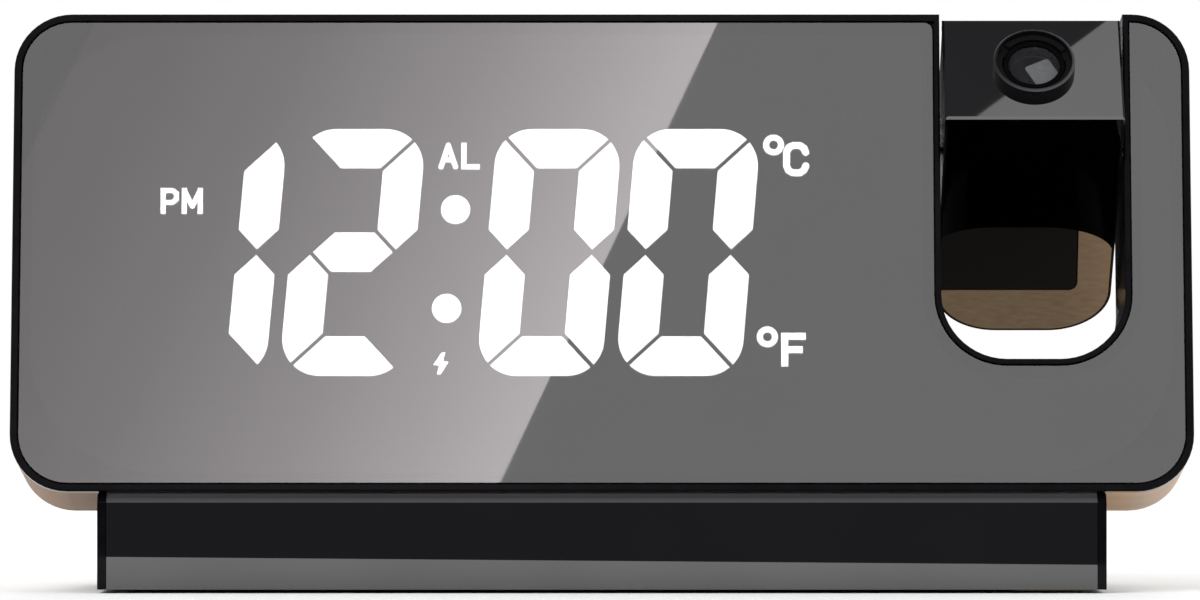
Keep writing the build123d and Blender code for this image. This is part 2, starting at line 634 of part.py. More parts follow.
with BuildPart() as rear_shell:
    with BuildSketch(behind(RIM_DEPTH)):
        body_outline(0)
    extrude(amount=-(BODY_DEPTH - RIM_DEPTH))
    fillet(rear_shell.faces().sort_by(Axis(FACE.origin, FACE.z_dir))[0].edges(), EDGE_ROUND)
    with BuildSketch(behind(RIM_DEPTH)):
        body_outline(WALL)
    extrude(amount=-(BACK_INSIDE - RIM_DEPTH), mode=Mode.SUBTRACT)
    with BuildSketch(behind(RIM_DEPTH)):
        body_outline(LIP)
    extrude(amount=-(LAP + FIT), mode=Mode.SUBTRACT)
    # Inside the back: pads for the case screws and posts for the main board.
    with BuildSketch(behind(BACK_INSIDE)):
        with Locations(*corner_spots(SCREW_INSET)):
            Circle(SEAT_PAD_RADIUS)
        body_outline(WALL / 2, mode=Mode.INTERSECT)
    extrude(amount=SEAT_PAD)
    with BuildSketch(behind(BACK_INSIDE)):
        with Locations(*BOARD_SPOTS):
            Circle(BOARD_POST_RADIUS)
    extrude(amount=BACK_INSIDE - MAIN_BOARD_BACK)
    # Bosses on the floor take the screws that hold the body on its base.
    with BuildSketch(UNDER.offset(WALL / 2)):
        with Locations(*BODY_SCREW_SPOTS):
            Circle(BODY_BOSS_RADIUS)
    extrude(amount=BODY_BOSS_TOP - WALL / 2)
    with BuildSketch(FACE):
        slot_outline(COLLAR + FIT, mode=Mode.ADD)
    extrude(amount=-(BODY_DEPTH + WALL), mode=Mode.SUBTRACT)
    with BuildSketch(behind(BODY_DEPTH)):
        with Locations(*corner_spots(SCREW_INSET)):
            Circle(SCREW_RADIUS + PLAY)
    extrude(amount=WALL + SEAT_PAD, mode=Mode.SUBTRACT)
    with BuildSketch(behind(BODY_DEPTH)):
        with Locations(*corner_spots(SCREW_INSET)):
            Circle(SCREW_HEAD_RADIUS + PLAY)
    extrude(amount=SCREW_HEAD + PLAY, mode=Mode.SUBTRACT)
    with BuildSketch(behind(BODY_DEPTH)):
        with Locations(*[(x, BUTTON_Y) for x in BUTTON_X]):
            RectangleRounded(BUTTON_WIDTH + 2 * PLAY, BUTTON_HEIGHT + 2 * PLAY, BUTTON_HEIGHT / 2)
        with Locations(SPEAKER_PLACE):
            Circle(GRILLE_HOLE)
            with PolarLocations(SPEAKER_RADIUS * 0.35, 6):
                Circle(GRILLE_HOLE)
            with PolarLocations(SPEAKER_RADIUS * 0.7, 12):
                Circle(GRILLE_HOLE)
        with Locations(SENSOR_PLACE):
            with GridLocations(0, VENT_PITCH, 1, 3):
                SlotOverall(VENT_LENGTH, VENT_WIDTH)
        with Locations(INLET_PLACE):
            RectangleRounded(INLET_WIDTH + 4 * FIT, INLET_HEIGHT + 4 * FIT, INLET_HEIGHT / 2)
    extrude(amount=WALL, mode=Mode.SUBTRACT)
    with BuildSketch(behind(MAIN_BOARD_BACK)):
        with Locations(*BOARD_SPOTS):
            Circle(SMALL_SCREW_RADIUS + THREAD_FIT)
    extrude(amount=-SMALL_SCREW_LENGTH, mode=Mode.SUBTRACT)
    with BuildSketch(UNDER.offset(-WALL)):
        with Locations(*BODY_SCREW_SPOTS):
            Circle(SCREW_RADIUS + THREAD_FIT)
    extrude(amount=WALL + BODY_SCREW_GRIP + PLAY, mode=Mode.SUBTRACT)
save(rear_shell, "rear_shell")

SHELL_HEAD_SEAT = BODY_DEPTH - SCREW_HEAD - PLAY
BACKWARDS = Plane(
    origin=behind(SHELL_HEAD_SEAT).origin, x_dir=(-1, 0, 0), z_dir=(0, -FACE.z_dir.Y, -FACE.z_dir.Z)
)
rear_shell_screws = screws(
    BACKWARDS,
    [(-x, y) for x, y in corner_spots(SCREW_INSET)],
    SCREW_RADIUS,
    SCREW_LENGTH,
    SCREW_HEAD_RADIUS,
    SCREW_HEAD,
)
save(rear_shell_screws, "rear_shell_screws")

# ================================================================ display
REFLECTOR_LEFT = TIME_X + SIGN_CENTRES[0][0] - SIGN_CAVITIES[0][0] / 2 - REFLECTOR_MARGIN
REFLECTOR_RIGHT = TIME_X + SIGN_CENTRES[2][0] + SIGN_CAVITIES[2][0] / 2 + REFLECTOR_MARGIN
REFLECTOR_WIDTH = REFLECTOR_RIGHT - REFLECTOR_LEFT
REFLECTOR_X = (REFLECTOR_LEFT + REFLECTOR_RIGHT) / 2
REFLECTOR_HEIGHT = DIGIT_HEIGHT + 2 * REFLECTOR_MARGIN

lit_figures = figures(LIT)
unlit_figures = figures(UNLIT)
lit_signs = colon_and_signs()

with BuildPart() as display_reflector:
    with BuildSketch(behind(DISPLAY_FRONT)):
        with Locations((REFLECTOR_X, TIME_Y)):
            Rectangle(REFLECTOR_WIDTH, REFLECTOR_HEIGHT)
        add(lit_figures, mode=Mode.SUBTRACT)
        add(unlit_figures, mode=Mode.SUBTRACT)
        add(sign_cavities(), mode=Mode.SUBTRACT)
    extrude(amount=-REFLECTOR_THICKNESS)
save(display_reflector, "display_reflector")

with BuildPart() as lit_segments:
    with BuildSketch(behind(DISPLAY_FRONT)):
        add(lit_figures)
    extrude(amount=-SEGMENT_THICKNESS)
save(lit_segments, "lit_segments")

with BuildPart() as unlit_segments:
    with BuildSketch(behind(DISPLAY_FRONT)):
        add(unlit_figures)
    extrude(amount=-SEGMENT_THICKNESS)
save(unlit_segments, "unlit_segments")

with BuildPart() as lit_signs_part:
    with BuildSketch(behind(DISPLAY_FRONT)):
        add(lit_signs)
    extrude(amount=-SEGMENT_THICKNESS)
save(lit_signs_part, "lit_signs")

with BuildPart() as sign_mask:
    with BuildSketch(behind(DISPLAY_FRONT)):
        add(sign_cavities())
        add(lit_signs, mode=Mode.SUBTRACT)
    extrude(amount=-SEGMENT_THICKNESS)
save(sign_mask, "sign_mask")

with BuildPart() as display_board:
    with BuildSketch(behind(DISPLAY_BOARD_FRONT)):
        with Locations((REFLECTOR_X, TIME_Y)):
            Rectangle(REFLECTOR_WIDTH, REFLECTOR_HEIGHT)
    extrude(amount=-DISPLAY_BOARD)
save(display_board, "display_board")

LED_SPOTS = [
    (x + lean_over(*SEGMENT_CENTRES[name])[0], TIME_Y + SEGMENT_CENTRES[name][1])
    for x, lit, unlit in zip(DIGIT_X, LIT, UNLIT)
    for name in (*lit, *unlit)
]
SIGN_LED_SPOTS = [(TIME_X + x, TIME_Y + y) for x, y in SIGN_CENTRES]
DOT_LED_SPOTS = [
    (TIME_X + lean_over(0, side * DOT_SPACING / 2)[0], TIME_Y - DOT_DROP + side * DOT_SPACING / 2)
    for side in (1, -1)
]

with BuildPart() as display_leds:
    with BuildSketch(behind(DISPLAY_BOARD_FRONT)):
        with Locations(*LED_SPOTS, *SIGN_LED_SPOTS, *DOT_LED_SPOTS):
            Rectangle(DISPLAY_LED, DISPLAY_LED)
    extrude(amount=DISPLAY_LED_HEIGHT)
save(display_leds, "display_leds")

# ================================================================ electronics
with BuildPart() as main_board:
    with BuildSketch(behind(MAIN_BOARD_FRONT)):
        with Locations((MAIN_BOARD_X, MAIN_BOARD_Y)):
            RectangleRounded(MAIN_BOARD_WIDTH, MAIN_BOARD_HEIGHT, BOARD_POST_INSET / 2)
        with Locations(*BOARD_SPOTS):
            Circle(SMALL_SCREW_RADIUS + FIT, mode=Mode.SUBTRACT)
    extrude(amount=-MAIN_BOARD)
save(main_board, "main_board")

board_screws = screws(
    behind(MAIN_BOARD_FRONT),
    BOARD_SPOTS,
    SMALL_SCREW_RADIUS,
    MAIN_BOARD + SMALL_SCREW_LENGTH - PLAY,
    SMALL_HEAD_RADIUS,
    SMALL_HEAD,
)
save(board_screws, "board_screws")

HEADER_PLACE = (MAIN_BOARD_X, MAIN_BOARD_MARGIN + HEADER_INSET)
with BuildPart() as board_link:
    with BuildSketch(behind(DISPLAY_BOARD_BACK)):
        with Locations(HEADER_PLACE):
            Rectangle(HEADER_WIDTH, HEADER_DEPTH)
    extrude(amount=-MAIN_BOARD_GAP)
save(board_link, "board_link")

# Width, height and thickness of each chip, with its place on the board's front.
CHIPS = [
    (10.0, 10.0, 1.4, -20, 4),
    (6.0, 5.0, 1.4, 2, 8),
    (3.2, 11.0, 3.0, -38, 0),
    (5.0, 5.0, 3.2, 18, -6),
    (4.0, 4.0, 2.2, 30, 6),
    (8.0, 3.6, 1.2, -6, -8),
]
with BuildPart() as board_chips:
    for width, height, thickness, x, y in CHIPS:
        with BuildSketch(behind(MAIN_BOARD_FRONT)):
            with Locations((MAIN_BOARD_X + x, MAIN_BOARD_Y + y)):
                Rectangle(width, height)
        extrude(amount=thickness)
save(board_chips, "board_chips")

with BuildPart() as button_switches:
    with BuildSketch(behind(MAIN_BOARD_BACK)):
        with Locations(*[(x, BUTTON_Y) for x in BUTTON_X]):
            Rectangle(SWITCH_SIZE, SWITCH_SIZE)
    extrude(amount=-SWITCH_HEIGHT)
    with BuildSketch(behind(MAIN_BOARD_BACK + SWITCH_HEIGHT)):
        with Locations(*[(x, BUTTON_Y) for x in BUTTON_X]):
            Circle(BUTTON_STEM + PLAY)
    extrude(amount=SWITCH_BORE, mode=Mode.SUBTRACT)
save(button_switches, "button_switches")

FLANGE_BACK = BACK_INSIDE - PLAY
STEM_TIP = MAIN_BOARD_BACK + SWITCH_HEIGHT - SWITCH_BORE + BUTTON_TRAVEL + PLAY


def button(x):
    """One button: a rounded cap with a flange inside the wall and a stem."""
    with BuildPart() as made:
        with BuildSketch(behind(BODY_DEPTH + BUTTON_PROUD)):
            with Locations((x, BUTTON_Y)):
                RectangleRounded(BUTTON_WIDTH, BUTTON_HEIGHT, BUTTON_HEIGHT / 2 - FIT)
        extrude(amount=BODY_DEPTH + BUTTON_PROUD - FLANGE_BACK)
        fillet(made.faces().sort_by(Axis(FACE.origin, FACE.z_dir))[0].edges(), BUTTON_PROUD / 2)
        with BuildSketch(behind(FLANGE_BACK)):
            with Locations((x, BUTTON_Y)):
                RectangleRounded(
                    BUTTON_WIDTH + 2 * BUTTON_FLANGE_RIM,
                    BUTTON_HEIGHT + 2 * BUTTON_FLANGE_RIM,
                    BUTTON_HEIGHT / 2,
                )
        extrude(amount=BUTTON_FLANGE)
        with BuildSketch(behind(STEM_TIP)):
            with Locations((x, BUTTON_Y)):
                Circle(BUTTON_STEM)
        extrude(amount=STEM_TIP - FLANGE_BACK)
    return made


for use, x in zip(BUTTONS, BUTTON_X):
    save(button(x), f"button_{use}")

with BuildPart() as power_inlet:
    with BuildSketch(behind(MAIN_BOARD_BACK)):
        with Locations(INLET_PLACE):
            RectangleRounded(INLET_WIDTH, INLET_HEIGHT, INLET_HEIGHT / 2 - FIT)
    extrude(amount=-INLET_LENGTH)
    with BuildSketch(behind(MAIN_BOARD_BACK + INLET_LENGTH)):
        with Locations(INLET_PLACE):
            RectangleRounded(
                INLET_WIDTH - 2 * INLET_WALL,
                INLET_HEIGHT - 2 * INLET_WALL,
                INLET_HEIGHT / 2 - INLET_WALL - FIT,
            )
            Rectangle(TONGUE_WIDTH, TONGUE_THICKNESS, mode=Mode.SUBTRACT)
    extrude(amount=INLET_LENGTH - 1, mode=Mode.SUBTRACT)
save(power_inlet, "power_inlet")

with BuildPart() as battery_pack:
    with BuildSketch(behind(BACK_INSIDE)):
        with Locations(BATTERY_PLACE):
            RectangleRounded(BATTERY_WIDTH, BATTERY_HEIGHT, BATTERY_THICKNESS / 2)
    extrude(amount=BATTERY_THICKNESS)
    edges = battery_pack.faces().sort_by(Axis(FACE.origin, FACE.z_dir))[-1].edges()
    fillet(edges, BATTERY_THICKNESS / 4)
save(battery_pack, "battery_pack")

with BuildPart() as speaker:
    with BuildSketch(behind(BACK_INSIDE)):
        with Locations(SPEAKER_PLACE):
            Circle(SPEAKER_RADIUS)
    extrude(amount=SPEAKER_THICKNESS * 0.6)
    with BuildSketch(behind(BACK_INSIDE - SPEAKER_THICKNESS * 0.6)):
        with Locations(SPEAKER_PLACE):
            Circle(SPEAKER_RADIUS * 0.6)
    extrude(amount=SPEAKER_THICKNESS * 0.4)
    # The hollow in front of the cone, behind the grille.
    with BuildSketch(behind(BACK_INSIDE)):
        with Locations(SPEAKER_PLACE):
            Circle(SPEAKER_RADIUS * 0.84)
    extrude(amount=SPEAKER_THICKNESS * 0.2, mode=Mode.SUBTRACT)
save(speaker, "speaker")

with BuildPart() as temperature_sensor:
    with BuildSketch(behind(MAIN_BOARD_BACK)):
        with Locations(SENSOR_PLACE):
            with GridLocations(SENSOR_RADIUS, 0, 2, 1):
                Circle(0.3)
    extrude(amount=-SENSOR_LENGTH / 2)
    with BuildSketch(behind(MAIN_BOARD_BACK + SENSOR_LENGTH / 2)):
        with Locations(SENSOR_PLACE):
            Circle(SENSOR_RADIUS)
    extrude(amount=-SENSOR_LENGTH / 2)
save(temperature_sensor, "temperature_sensor")

# ================================================================ hinge
for side, name in ((-1, "left"), (1, "right")):
    wall_in = SLOT_WIDTH / 2
    wall_out = wall_in + COLLAR
    with BuildPart() as bush:
        with BuildSketch(AXLE.offset(side * (wall_in + FIT))):
            Circle(BUSH_RADIUS)
        extrude(amount=side * (COLLAR - FIT))
        with BuildSketch(AXLE.offset(side * wall_out)):
            Circle(BUSH_FLANGE_RADIUS)
        extrude(amount=side * BUSH_FLANGE)
        with BuildSketch(AXLE.offset(side * wall_in)):
            Circle(PIN_RADIUS + RUNNING_FIT)
        extrude(amount=side * (COLLAR + BUSH_FLANGE + FIT), mode=Mode.SUBTRACT)
    save(bush, f"hinge_bush_{name}")

    flange_face = wall_out + BUSH_FLANGE
    with BuildPart() as pin:
        with BuildSketch(AXLE.offset(side * (ARM_WIDTH / 2 - PIN_GRIP))):
            Circle(PIN_RADIUS)
        extrude(amount=side * (flange_face + FIT + WASHER - ARM_WIDTH / 2 + PIN_GRIP))
        with BuildSketch(AXLE.offset(side * (flange_face + FIT + WASHER))):
            Circle(PIN_HEAD_RADIUS)
        extrude(amount=side * PIN_HEAD)
        with BuildSketch(AXLE.offset(side * (ARM_WIDTH / 2 - PIN_GRIP - FIT))):
            Circle(PIN_BORE)
        extrude(amount=side * (flange_face + WASHER + PIN_HEAD + PIN_GRIP), mode=Mode.SUBTRACT)
    save(pin, f"pivot_pin_{name}")

with BuildPart() as pivot_washers:
    for side in (-1, 1):
        with BuildSketch(AXLE.offset(side * (SLOT_WIDTH / 2 + COLLAR + BUSH_FLANGE + FIT))):
            Circle(WASHER_RADIUS)
            Circle(PIN_RADIUS + THREAD_FIT, mode=Mode.SUBTRACT)
        extrude(amount=side * WASHER)
save(pivot_washers, "pivot_washers")

# ================================================================ projector arm
BLOCK_BACK = LENS_W - LAMP_HOUSE_SIZE / 2
CASE_INSIDE_BACK = CASE_WALL - CASE_BACK
CASE_SCREW_SPOTS = [
    (i * CASE_SCREW_SPACING / 2, PIVOT_DROP - (TUBE_END + LAMP_HOUSE_END) / 2) for i in (-1, 1)
]
CASE_SCREW_SEAT = CASE_BACK - SMALL_HEAD

with BuildPart() as projector_case:
    with BuildSketch(ARM.offset(PIVOT_BEHIND)):
        arm_outline(0, CASE_TOP)
    extrude(amount=-ARM_THICKNESS)
    back_edges = projector_case.faces().sort_by(Axis(ARM.origin, ARM.z_dir))[0].edges()
    fillet(back_edges.filter_by_position(Axis(ARM.origin, ARM.y_dir), -2 * ARM_REACH, CASE_TOP - FIT), CASE_EDGE_ROUND)
    with BuildSketch(ARM.offset(PIVOT_BEHIND)):
        arm_outline(CASE_WALL, CASE_TOP + CASE_WALL)
    extrude(amount=-(ARM_THICKNESS - CASE_WALL), mode=Mode.SUBTRACT)
    # Bosses for the pivot pins, on the inside of both cheeks.
    for side in (-1, 1):
        with BuildSketch(AXLE.offset(side * (ARM_WIDTH / 2 - CASE_WALL / 2))):
            Circle(PIN_BOSS_RADIUS)
        extrude(amount=-side * (PIN_GRIP - CASE_WALL / 2))
    with BuildSketch(AXLE):
        Circle(PIN_RADIUS + THREAD_FIT)
    extrude(amount=ARM_WIDTH, both=True, mode=Mode.SUBTRACT)
    with BuildSketch(ARM.offset(PIVOT_BEHIND)):
        arm_outline(ARM_MIRROR_RIM, CASE_TOP + CASE_WALL)
    extrude(amount=-ARM_MIRROR_THICKNESS, mode=Mode.SUBTRACT)
    # Stand-offs that carry the lamp house, with holes for its screws.
    with BuildSketch(ARM.offset(CASE_INSIDE_BACK)):
        with Locations(*CASE_SCREW_SPOTS):
            Circle(SMALL_HEAD_RADIUS + PLAY)
    extrude(amount=BLOCK_BACK - CASE_INSIDE_BACK)
    with BuildSketch(ARM.offset(-CASE_BACK)):
        with Locations(*CASE_SCREW_SPOTS):
            Circle(SMALL_SCREW_RADIUS + FIT)
    extrude(amount=BLOCK_BACK + CASE_BACK, mode=Mode.SUBTRACT)
    with BuildSketch(ARM.offset(-CASE_BACK)):
        with Locations(*CASE_SCREW_SPOTS):
            Circle(SMALL_HEAD_RADIUS + FIT)
    extrude(amount=SMALL_HEAD, mode=Mode.SUBTRACT)
save(projector_case, "projector_case")

with BuildPart() as arm_mirror:
    with BuildSketch(ARM.offset(PIVOT_BEHIND)):
        arm_outline(ARM_MIRROR_RIM + FIT / 2, CASE_TOP)
    extrude(amount=-ARM_MIRROR_THICKNESS)
save(arm_mirror, "arm_mirror")

with BuildPart() as projector_end_plate:
    with BuildSketch(END):
        with Locations((0, LENS_FORWARD)):
            Rectangle(ARM_WIDTH, ARM_THICKNESS)
    extrude(amount=-END_PLATE)
    chamfer(projector_end_plate.faces().sort_by(Axis(END.origin, END.z_dir))[-1].edges(), END_PLATE_EDGE)
    with BuildSketch(END):
        Circle(RING_SKIRT_RADIUS + PLAY)
    extrude(amount=-END_PLATE, mode=Mode.SUBTRACT)
save(projector_end_plate, "projector_end_plate")

with BuildPart() as focus_ring:
    with BuildSketch(END.offset(PLAY)):
        Circle(RING_RADIUS)
    extrude(amount=RING_PROUD - PLAY)
    with BuildSketch(END.offset(PLAY)):
        Circle(RING_SKIRT_RADIUS)
    extrude(amount=-(END_PLATE + 2 * PLAY + RING_LIP))
    with BuildSketch(END.offset(-(END_PLATE + PLAY))):
        Circle(RING_LIP_RADIUS)
    extrude(amount=-RING_LIP)
    with BuildSketch(END.offset(RING_PROUD)):
        Circle(RING_BORE)
    extrude(amount=-(RING_PROUD + END_PLATE + 2 * PLAY + RING_LIP), mode=Mode.SUBTRACT)
    with BuildSketch(END.offset(RING_PROUD)):
        Circle(RING_RADIUS - RING_RIM)
    extrude(amount=-RING_LEDGE_DROP, mode=Mode.SUBTRACT)
    # Two notches in the ledge, for a fingertip or a tool.
    for angle in NOTCH_ANGLES:
        with BuildSketch(END.offset(RING_PROUD - RING_LEDGE_DROP)):
            with Locations(Location((0, 0), angle)):
                with Locations(((RING_BORE + RING_RADIUS - RING_RIM) / 2, 0)):
                    Rectangle(RING_RADIUS - RING_RIM - RING_BORE + FIT, NOTCH_WIDTH)
        extrude(amount=-NOTCH_DEPTH, mode=Mode.SUBTRACT)
    top_edges = focus_ring.edges().group_by(Axis(END.origin, END.z_dir))[-1]
    chamfer(top_edges.sort_by(SortBy.RADIUS)[-1], RING_CHAMFER)
save(focus_ring, "focus_ring")

CELL_FRONT = RING_PROUD - RING_LEDGE_DROP - CELL_FRONT_DROP
with BuildPart() as lens_cell:
    with BuildSketch(END.offset(CELL_FRONT)):
        Circle(CELL_NOSE_RADIUS)
    extrude(amount=-(CELL_FRONT + CELL_SHOULDER))
    with BuildSketch(END.offset(-CELL_SHOULDER)):
        Circle(CELL_RADIUS)
    extrude(amount=-(CELL_END - CELL_SHOULDER))
    with BuildSketch(END.offset(CELL_FRONT)):
        Circle(CELL_BORE)
    extrude(amount=-(CELL_FRONT + CELL_END), mode=Mode.SUBTRACT)
    with BuildSketch(END.offset(CELL_FRONT)):
        Circle(LENS_RADIUS + THREAD_FIT)
    extrude(amount=-(LENS_THICKNESS + RETAINER), mode=Mode.SUBTRACT)
save(lens_cell, "lens_cell")

with BuildPart() as focus_lens:
    with BuildSketch(END.offset(CELL_FRONT - RETAINER)):
        Circle(LENS_RADIUS)
    extrude(amount=-LENS_THICKNESS)
    # The front of the lens is ground to a shallow dome.
    fillet(focus_lens.edges().sort_by(Axis(END.origin, END.z_dir))[-1], LENS_THICKNESS / 3)
save(focus_lens, "focus_lens")

with BuildPart() as lens_retainer:
    with BuildSketch(END.offset(CELL_FRONT)):
        Circle(LENS_RADIUS)
        Circle(CELL_BORE, mode=Mode.SUBTRACT)
    extrude(amount=-RETAINER)
save(lens_retainer, "lens_retainer")

with BuildPart() as lamp_house:
    with BuildSketch(END.offset(-TUBE_TOP)):
        Circle(TUBE_RADIUS)
    extrude(amount=-(TUBE_END - TUBE_TOP))
    with BuildSketch(END.offset(-TUBE_END)):
        Rectangle(LAMP_HOUSE_SIZE, LAMP_HOUSE_SIZE)
    extrude(amount=-(LAMP_HOUSE_END - TUBE_END))
    with BuildSketch(END.offset(-TUBE_TOP)):
        Circle(CELL_RADIUS + RUNNING_FIT)
    extrude(amount=-(TUBE_END - TUBE_TOP), mode=Mode.SUBTRACT)
    with BuildSketch(END.offset(-TUBE_END)):
        Circle(APERTURE_RADIUS)
    extrude(amount=-APERTURE_WALL, mode=Mode.SUBTRACT)
    with BuildSketch(END.offset(-(TUBE_END + APERTURE_WALL))):
        Rectangle(LAMP_CAVITY, LAMP_CAVITY)
    extrude(amount=-(LAMP_HOUSE_END - TUBE_END - APERTURE_WALL), mode=Mode.SUBTRACT)
    with BuildSketch(ARM.offset(BLOCK_BACK)):
        with Locations(*CASE_SCREW_SPOTS):
            Circle(SMALL_SCREW_RADIUS + THREAD_FIT)
    extrude(amount=(LAMP_HOUSE_SIZE - LAMP_CAVITY) / 2 - PLAY, mode=Mode.SUBTRACT)
save(lamp_house, "lamp_house")

MASK_TOP = TUBE_END + APERTURE_WALL
with BuildPart() as projection_mask:
    with BuildSketch(END.offset(-MASK_TOP)):
        Rectangle(LAMP_CAVITY - 2 * FIT, LAMP_CAVITY - 2 * FIT)
    extrude(amount=-MASK_THICKNESS)
save(projection_mask, "projection_mask")

with BuildPart() as condenser_lens:
    with BuildSketch(END.offset(-(MASK_TOP + CONDENSER_DROP))):
        Circle(LAMP_CAVITY / 2 - FIT)
    extrude(amount=-CONDENSER_THICKNESS)
    fillet(condenser_lens.edges().sort_by(Axis(END.origin, END.z_dir))[-1], CONDENSER_THICKNESS / 2)
save(condenser_lens, "condenser_lens")

with BuildPart() as lamp_board:
    with BuildSketch(END.offset(-LAMP_HOUSE_END)):
        Rectangle(LAMP_HOUSE_SIZE, LAMP_HOUSE_SIZE)
    extrude(amount=-LAMP_BOARD)
save(lamp_board, "lamp_board")

with BuildPart() as projector_led:
    with BuildSketch(END.offset(-LAMP_HOUSE_END)):
        Rectangle(LED_SIZE, LED_SIZE)
    extrude(amount=LED_HEIGHT)
save(projector_led, "projector_led")

SINK_TOP = LAMP_HOUSE_END + LAMP_BOARD
with BuildPart() as heat_sink:
    with BuildSketch(END.offset(-SINK_TOP)):
        Rectangle(LAMP_HOUSE_SIZE, LAMP_HOUSE_SIZE)
    extrude(amount=-SINK_BASE)
    with BuildSketch(END.offset(-(SINK_TOP + SINK_BASE))):
        with GridLocations((LAMP_HOUSE_SIZE - SINK_FIN) / (SINK_FINS - 1), 0, SINK_FINS, 1):
            Rectangle(SINK_FIN, LAMP_HOUSE_SIZE)
    extrude(amount=-(SINK_HEIGHT - SINK_BASE))
save(heat_sink, "heat_sink")

FORWARDS = Plane(
    origin=ARM.offset(-CASE_SCREW_SEAT).origin, x_dir=(-1, 0, 0), z_dir=(0, -ARM.z_dir.Y, -ARM.z_dir.Z)
)
case_screws = screws(
    FORWARDS,
    [(-x, y) for x, y in CASE_SCREW_SPOTS],
    SMALL_SCREW_RADIUS,
    CASE_SCREW_SEAT + BLOCK_BACK + (LAMP_HOUSE_SIZE - LAMP_CAVITY) / 2 - 2 * PLAY,
    SMALL_HEAD_RADIUS,
    SMALL_HEAD,
)
save(case_screws, "projector_case_screws")

SOCKET_FACE = MAIN_BOARD_RIGHT - BOARD_POST_INSET / 2
with BuildPart() as projector_cable:
    with BuildSketch(AXLE.offset(SOCKET_FACE + PLAY - SLOT_X)):
        Circle(CABLE_RADIUS)
    extrude(amount=SLOT_X - SOCKET_FACE - PLAY - LAMP_HOUSE_SIZE / 2 - FIT)
save(projector_cable, "projector_cable")

with BuildPart() as cable_socket:
    with BuildSketch(behind(MAIN_BOARD_FRONT)):
        with Locations((SOCKET_FACE - SOCKET_LENGTH / 2, BODY_HEIGHT - PIVOT_DROP)):
            Rectangle(SOCKET_LENGTH, SOCKET_WIDTH)
    extrude(amount=SOCKET_HEIGHT)
save(cable_socket, "cable_socket")

# ================================================================ base
SIDE = Plane.YZ
SEAT_SLOPE = tan(radians(LEAN))
FRONT = -BASE_DEPTH / 2
BACK = BASE_DEPTH / 2
BACK_TOP = SEAT_HEIGHT - BASE_DEPTH * SEAT_SLOPE
BEVEL_TOP = SEAT_HEIGHT - FASCIA_BEVEL * SEAT_SLOPE


def base_side(inset, bottom, front):
    """Side view of the base: level floor, sloping top, cut in all round by inset."""
    drop = inset / cos(radians(LEAN))
    front_top = SEAT_HEIGHT - (front - FRONT) * SEAT_SLOPE - drop
    back = BACK - inset
    back_top = BACK_TOP + inset * SEAT_SLOPE - drop
    with BuildSketch(SIDE) as made:
        Polygon((front, bottom), (back, bottom), (back, back_top), (front, front_top), align=None)
    return made.sketch


with BuildPart() as base_housing:
    extrude(base_side(0, PAD_PROUD, FRONT), amount=BASE_WIDTH / 2, both=True)
    fillet(base_housing.edges().filter_by(Axis.Z).group_by(Axis.Y)[-1], BASE_CORNER)
    fillet(base_housing.faces().sort_by(Axis.Z)[-1].edges(), BASE_EDGE)
    # The bevel runs across the whole front, housing and fascia alike.
    with BuildSketch(SIDE):
        Polygon(
            (FRONT - 1, SEAT_HEIGHT - FASCIA_BEVEL - 1),
            (FRONT + FASCIA_BEVEL + 1, SEAT_HEIGHT + 1),
            (FRONT - 1, SEAT_HEIGHT + 1),
            align=None,
        )
    extrude(amount=BASE_WIDTH, both=True, mode=Mode.SUBTRACT)
    extrude(
        base_side(BASE_WALL, PAD_PROUD - 1, FRONT + FASCIA_THICKNESS + BASE_WALL),
        amount=BASE_WIDTH / 2 - BASE_WALL,
        both=True,
        mode=Mode.SUBTRACT,
    )
    # Front recess for the fascia, between the two end rims.
    with BuildSketch(SIDE):
        with Locations((FRONT + FASCIA_THICKNESS / 2, SEAT_HEIGHT / 2)):
            Rectangle(FASCIA_THICKNESS, 2 * SEAT_HEIGHT)
    extrude(amount=BASE_WIDTH / 2 - FASCIA_RIM, both=True, mode=Mode.SUBTRACT)
    # Bosses for the cover's screws, and holes for the screws up into the body.
    with BuildSketch(Plane.XY.offset(COVER_TOP)):
        with Locations(*COVER_SPOTS):
            Circle(COVER_BOSS_RADIUS)
    extrude(until=Until.NEXT)
    with BuildSketch(Plane.XY.offset(COVER_TOP)):
        with Locations(*COVER_SPOTS):
            Circle(SMALL_SCREW_RADIUS + THREAD_FIT)
    extrude(amount=SMALL_SCREW_LENGTH, mode=Mode.SUBTRACT)
    with BuildSketch(UNDER.offset(-2 * BASE_WALL)):
        with Locations(*BODY_SCREW_SPOTS):
            Circle(SCREW_RADIUS + FIT)
    extrude(amount=3 * BASE_WALL, mode=Mode.SUBTRACT)
save(base_housing, "base_housing")

with BuildPart() as base_fascia:
    with BuildSketch(SIDE):
        Polygon(
            (FRONT, PAD_PROUD),
            (FRONT + FASCIA_THICKNESS - FIT, PAD_PROUD),
            (FRONT + FASCIA_THICKNESS - FIT, SEAT_HEIGHT - (FASCIA_THICKNESS - FIT) * SEAT_SLOPE - FIT),
            (FRONT + FASCIA_BEVEL, BEVEL_TOP - FIT),
            (FRONT, SEAT_HEIGHT - FASCIA_BEVEL),
            align=None,
        )
    extrude(amount=BASE_WIDTH / 2 - FASCIA_RIM - FIT, both=True)
save(base_fascia, "base_fascia")

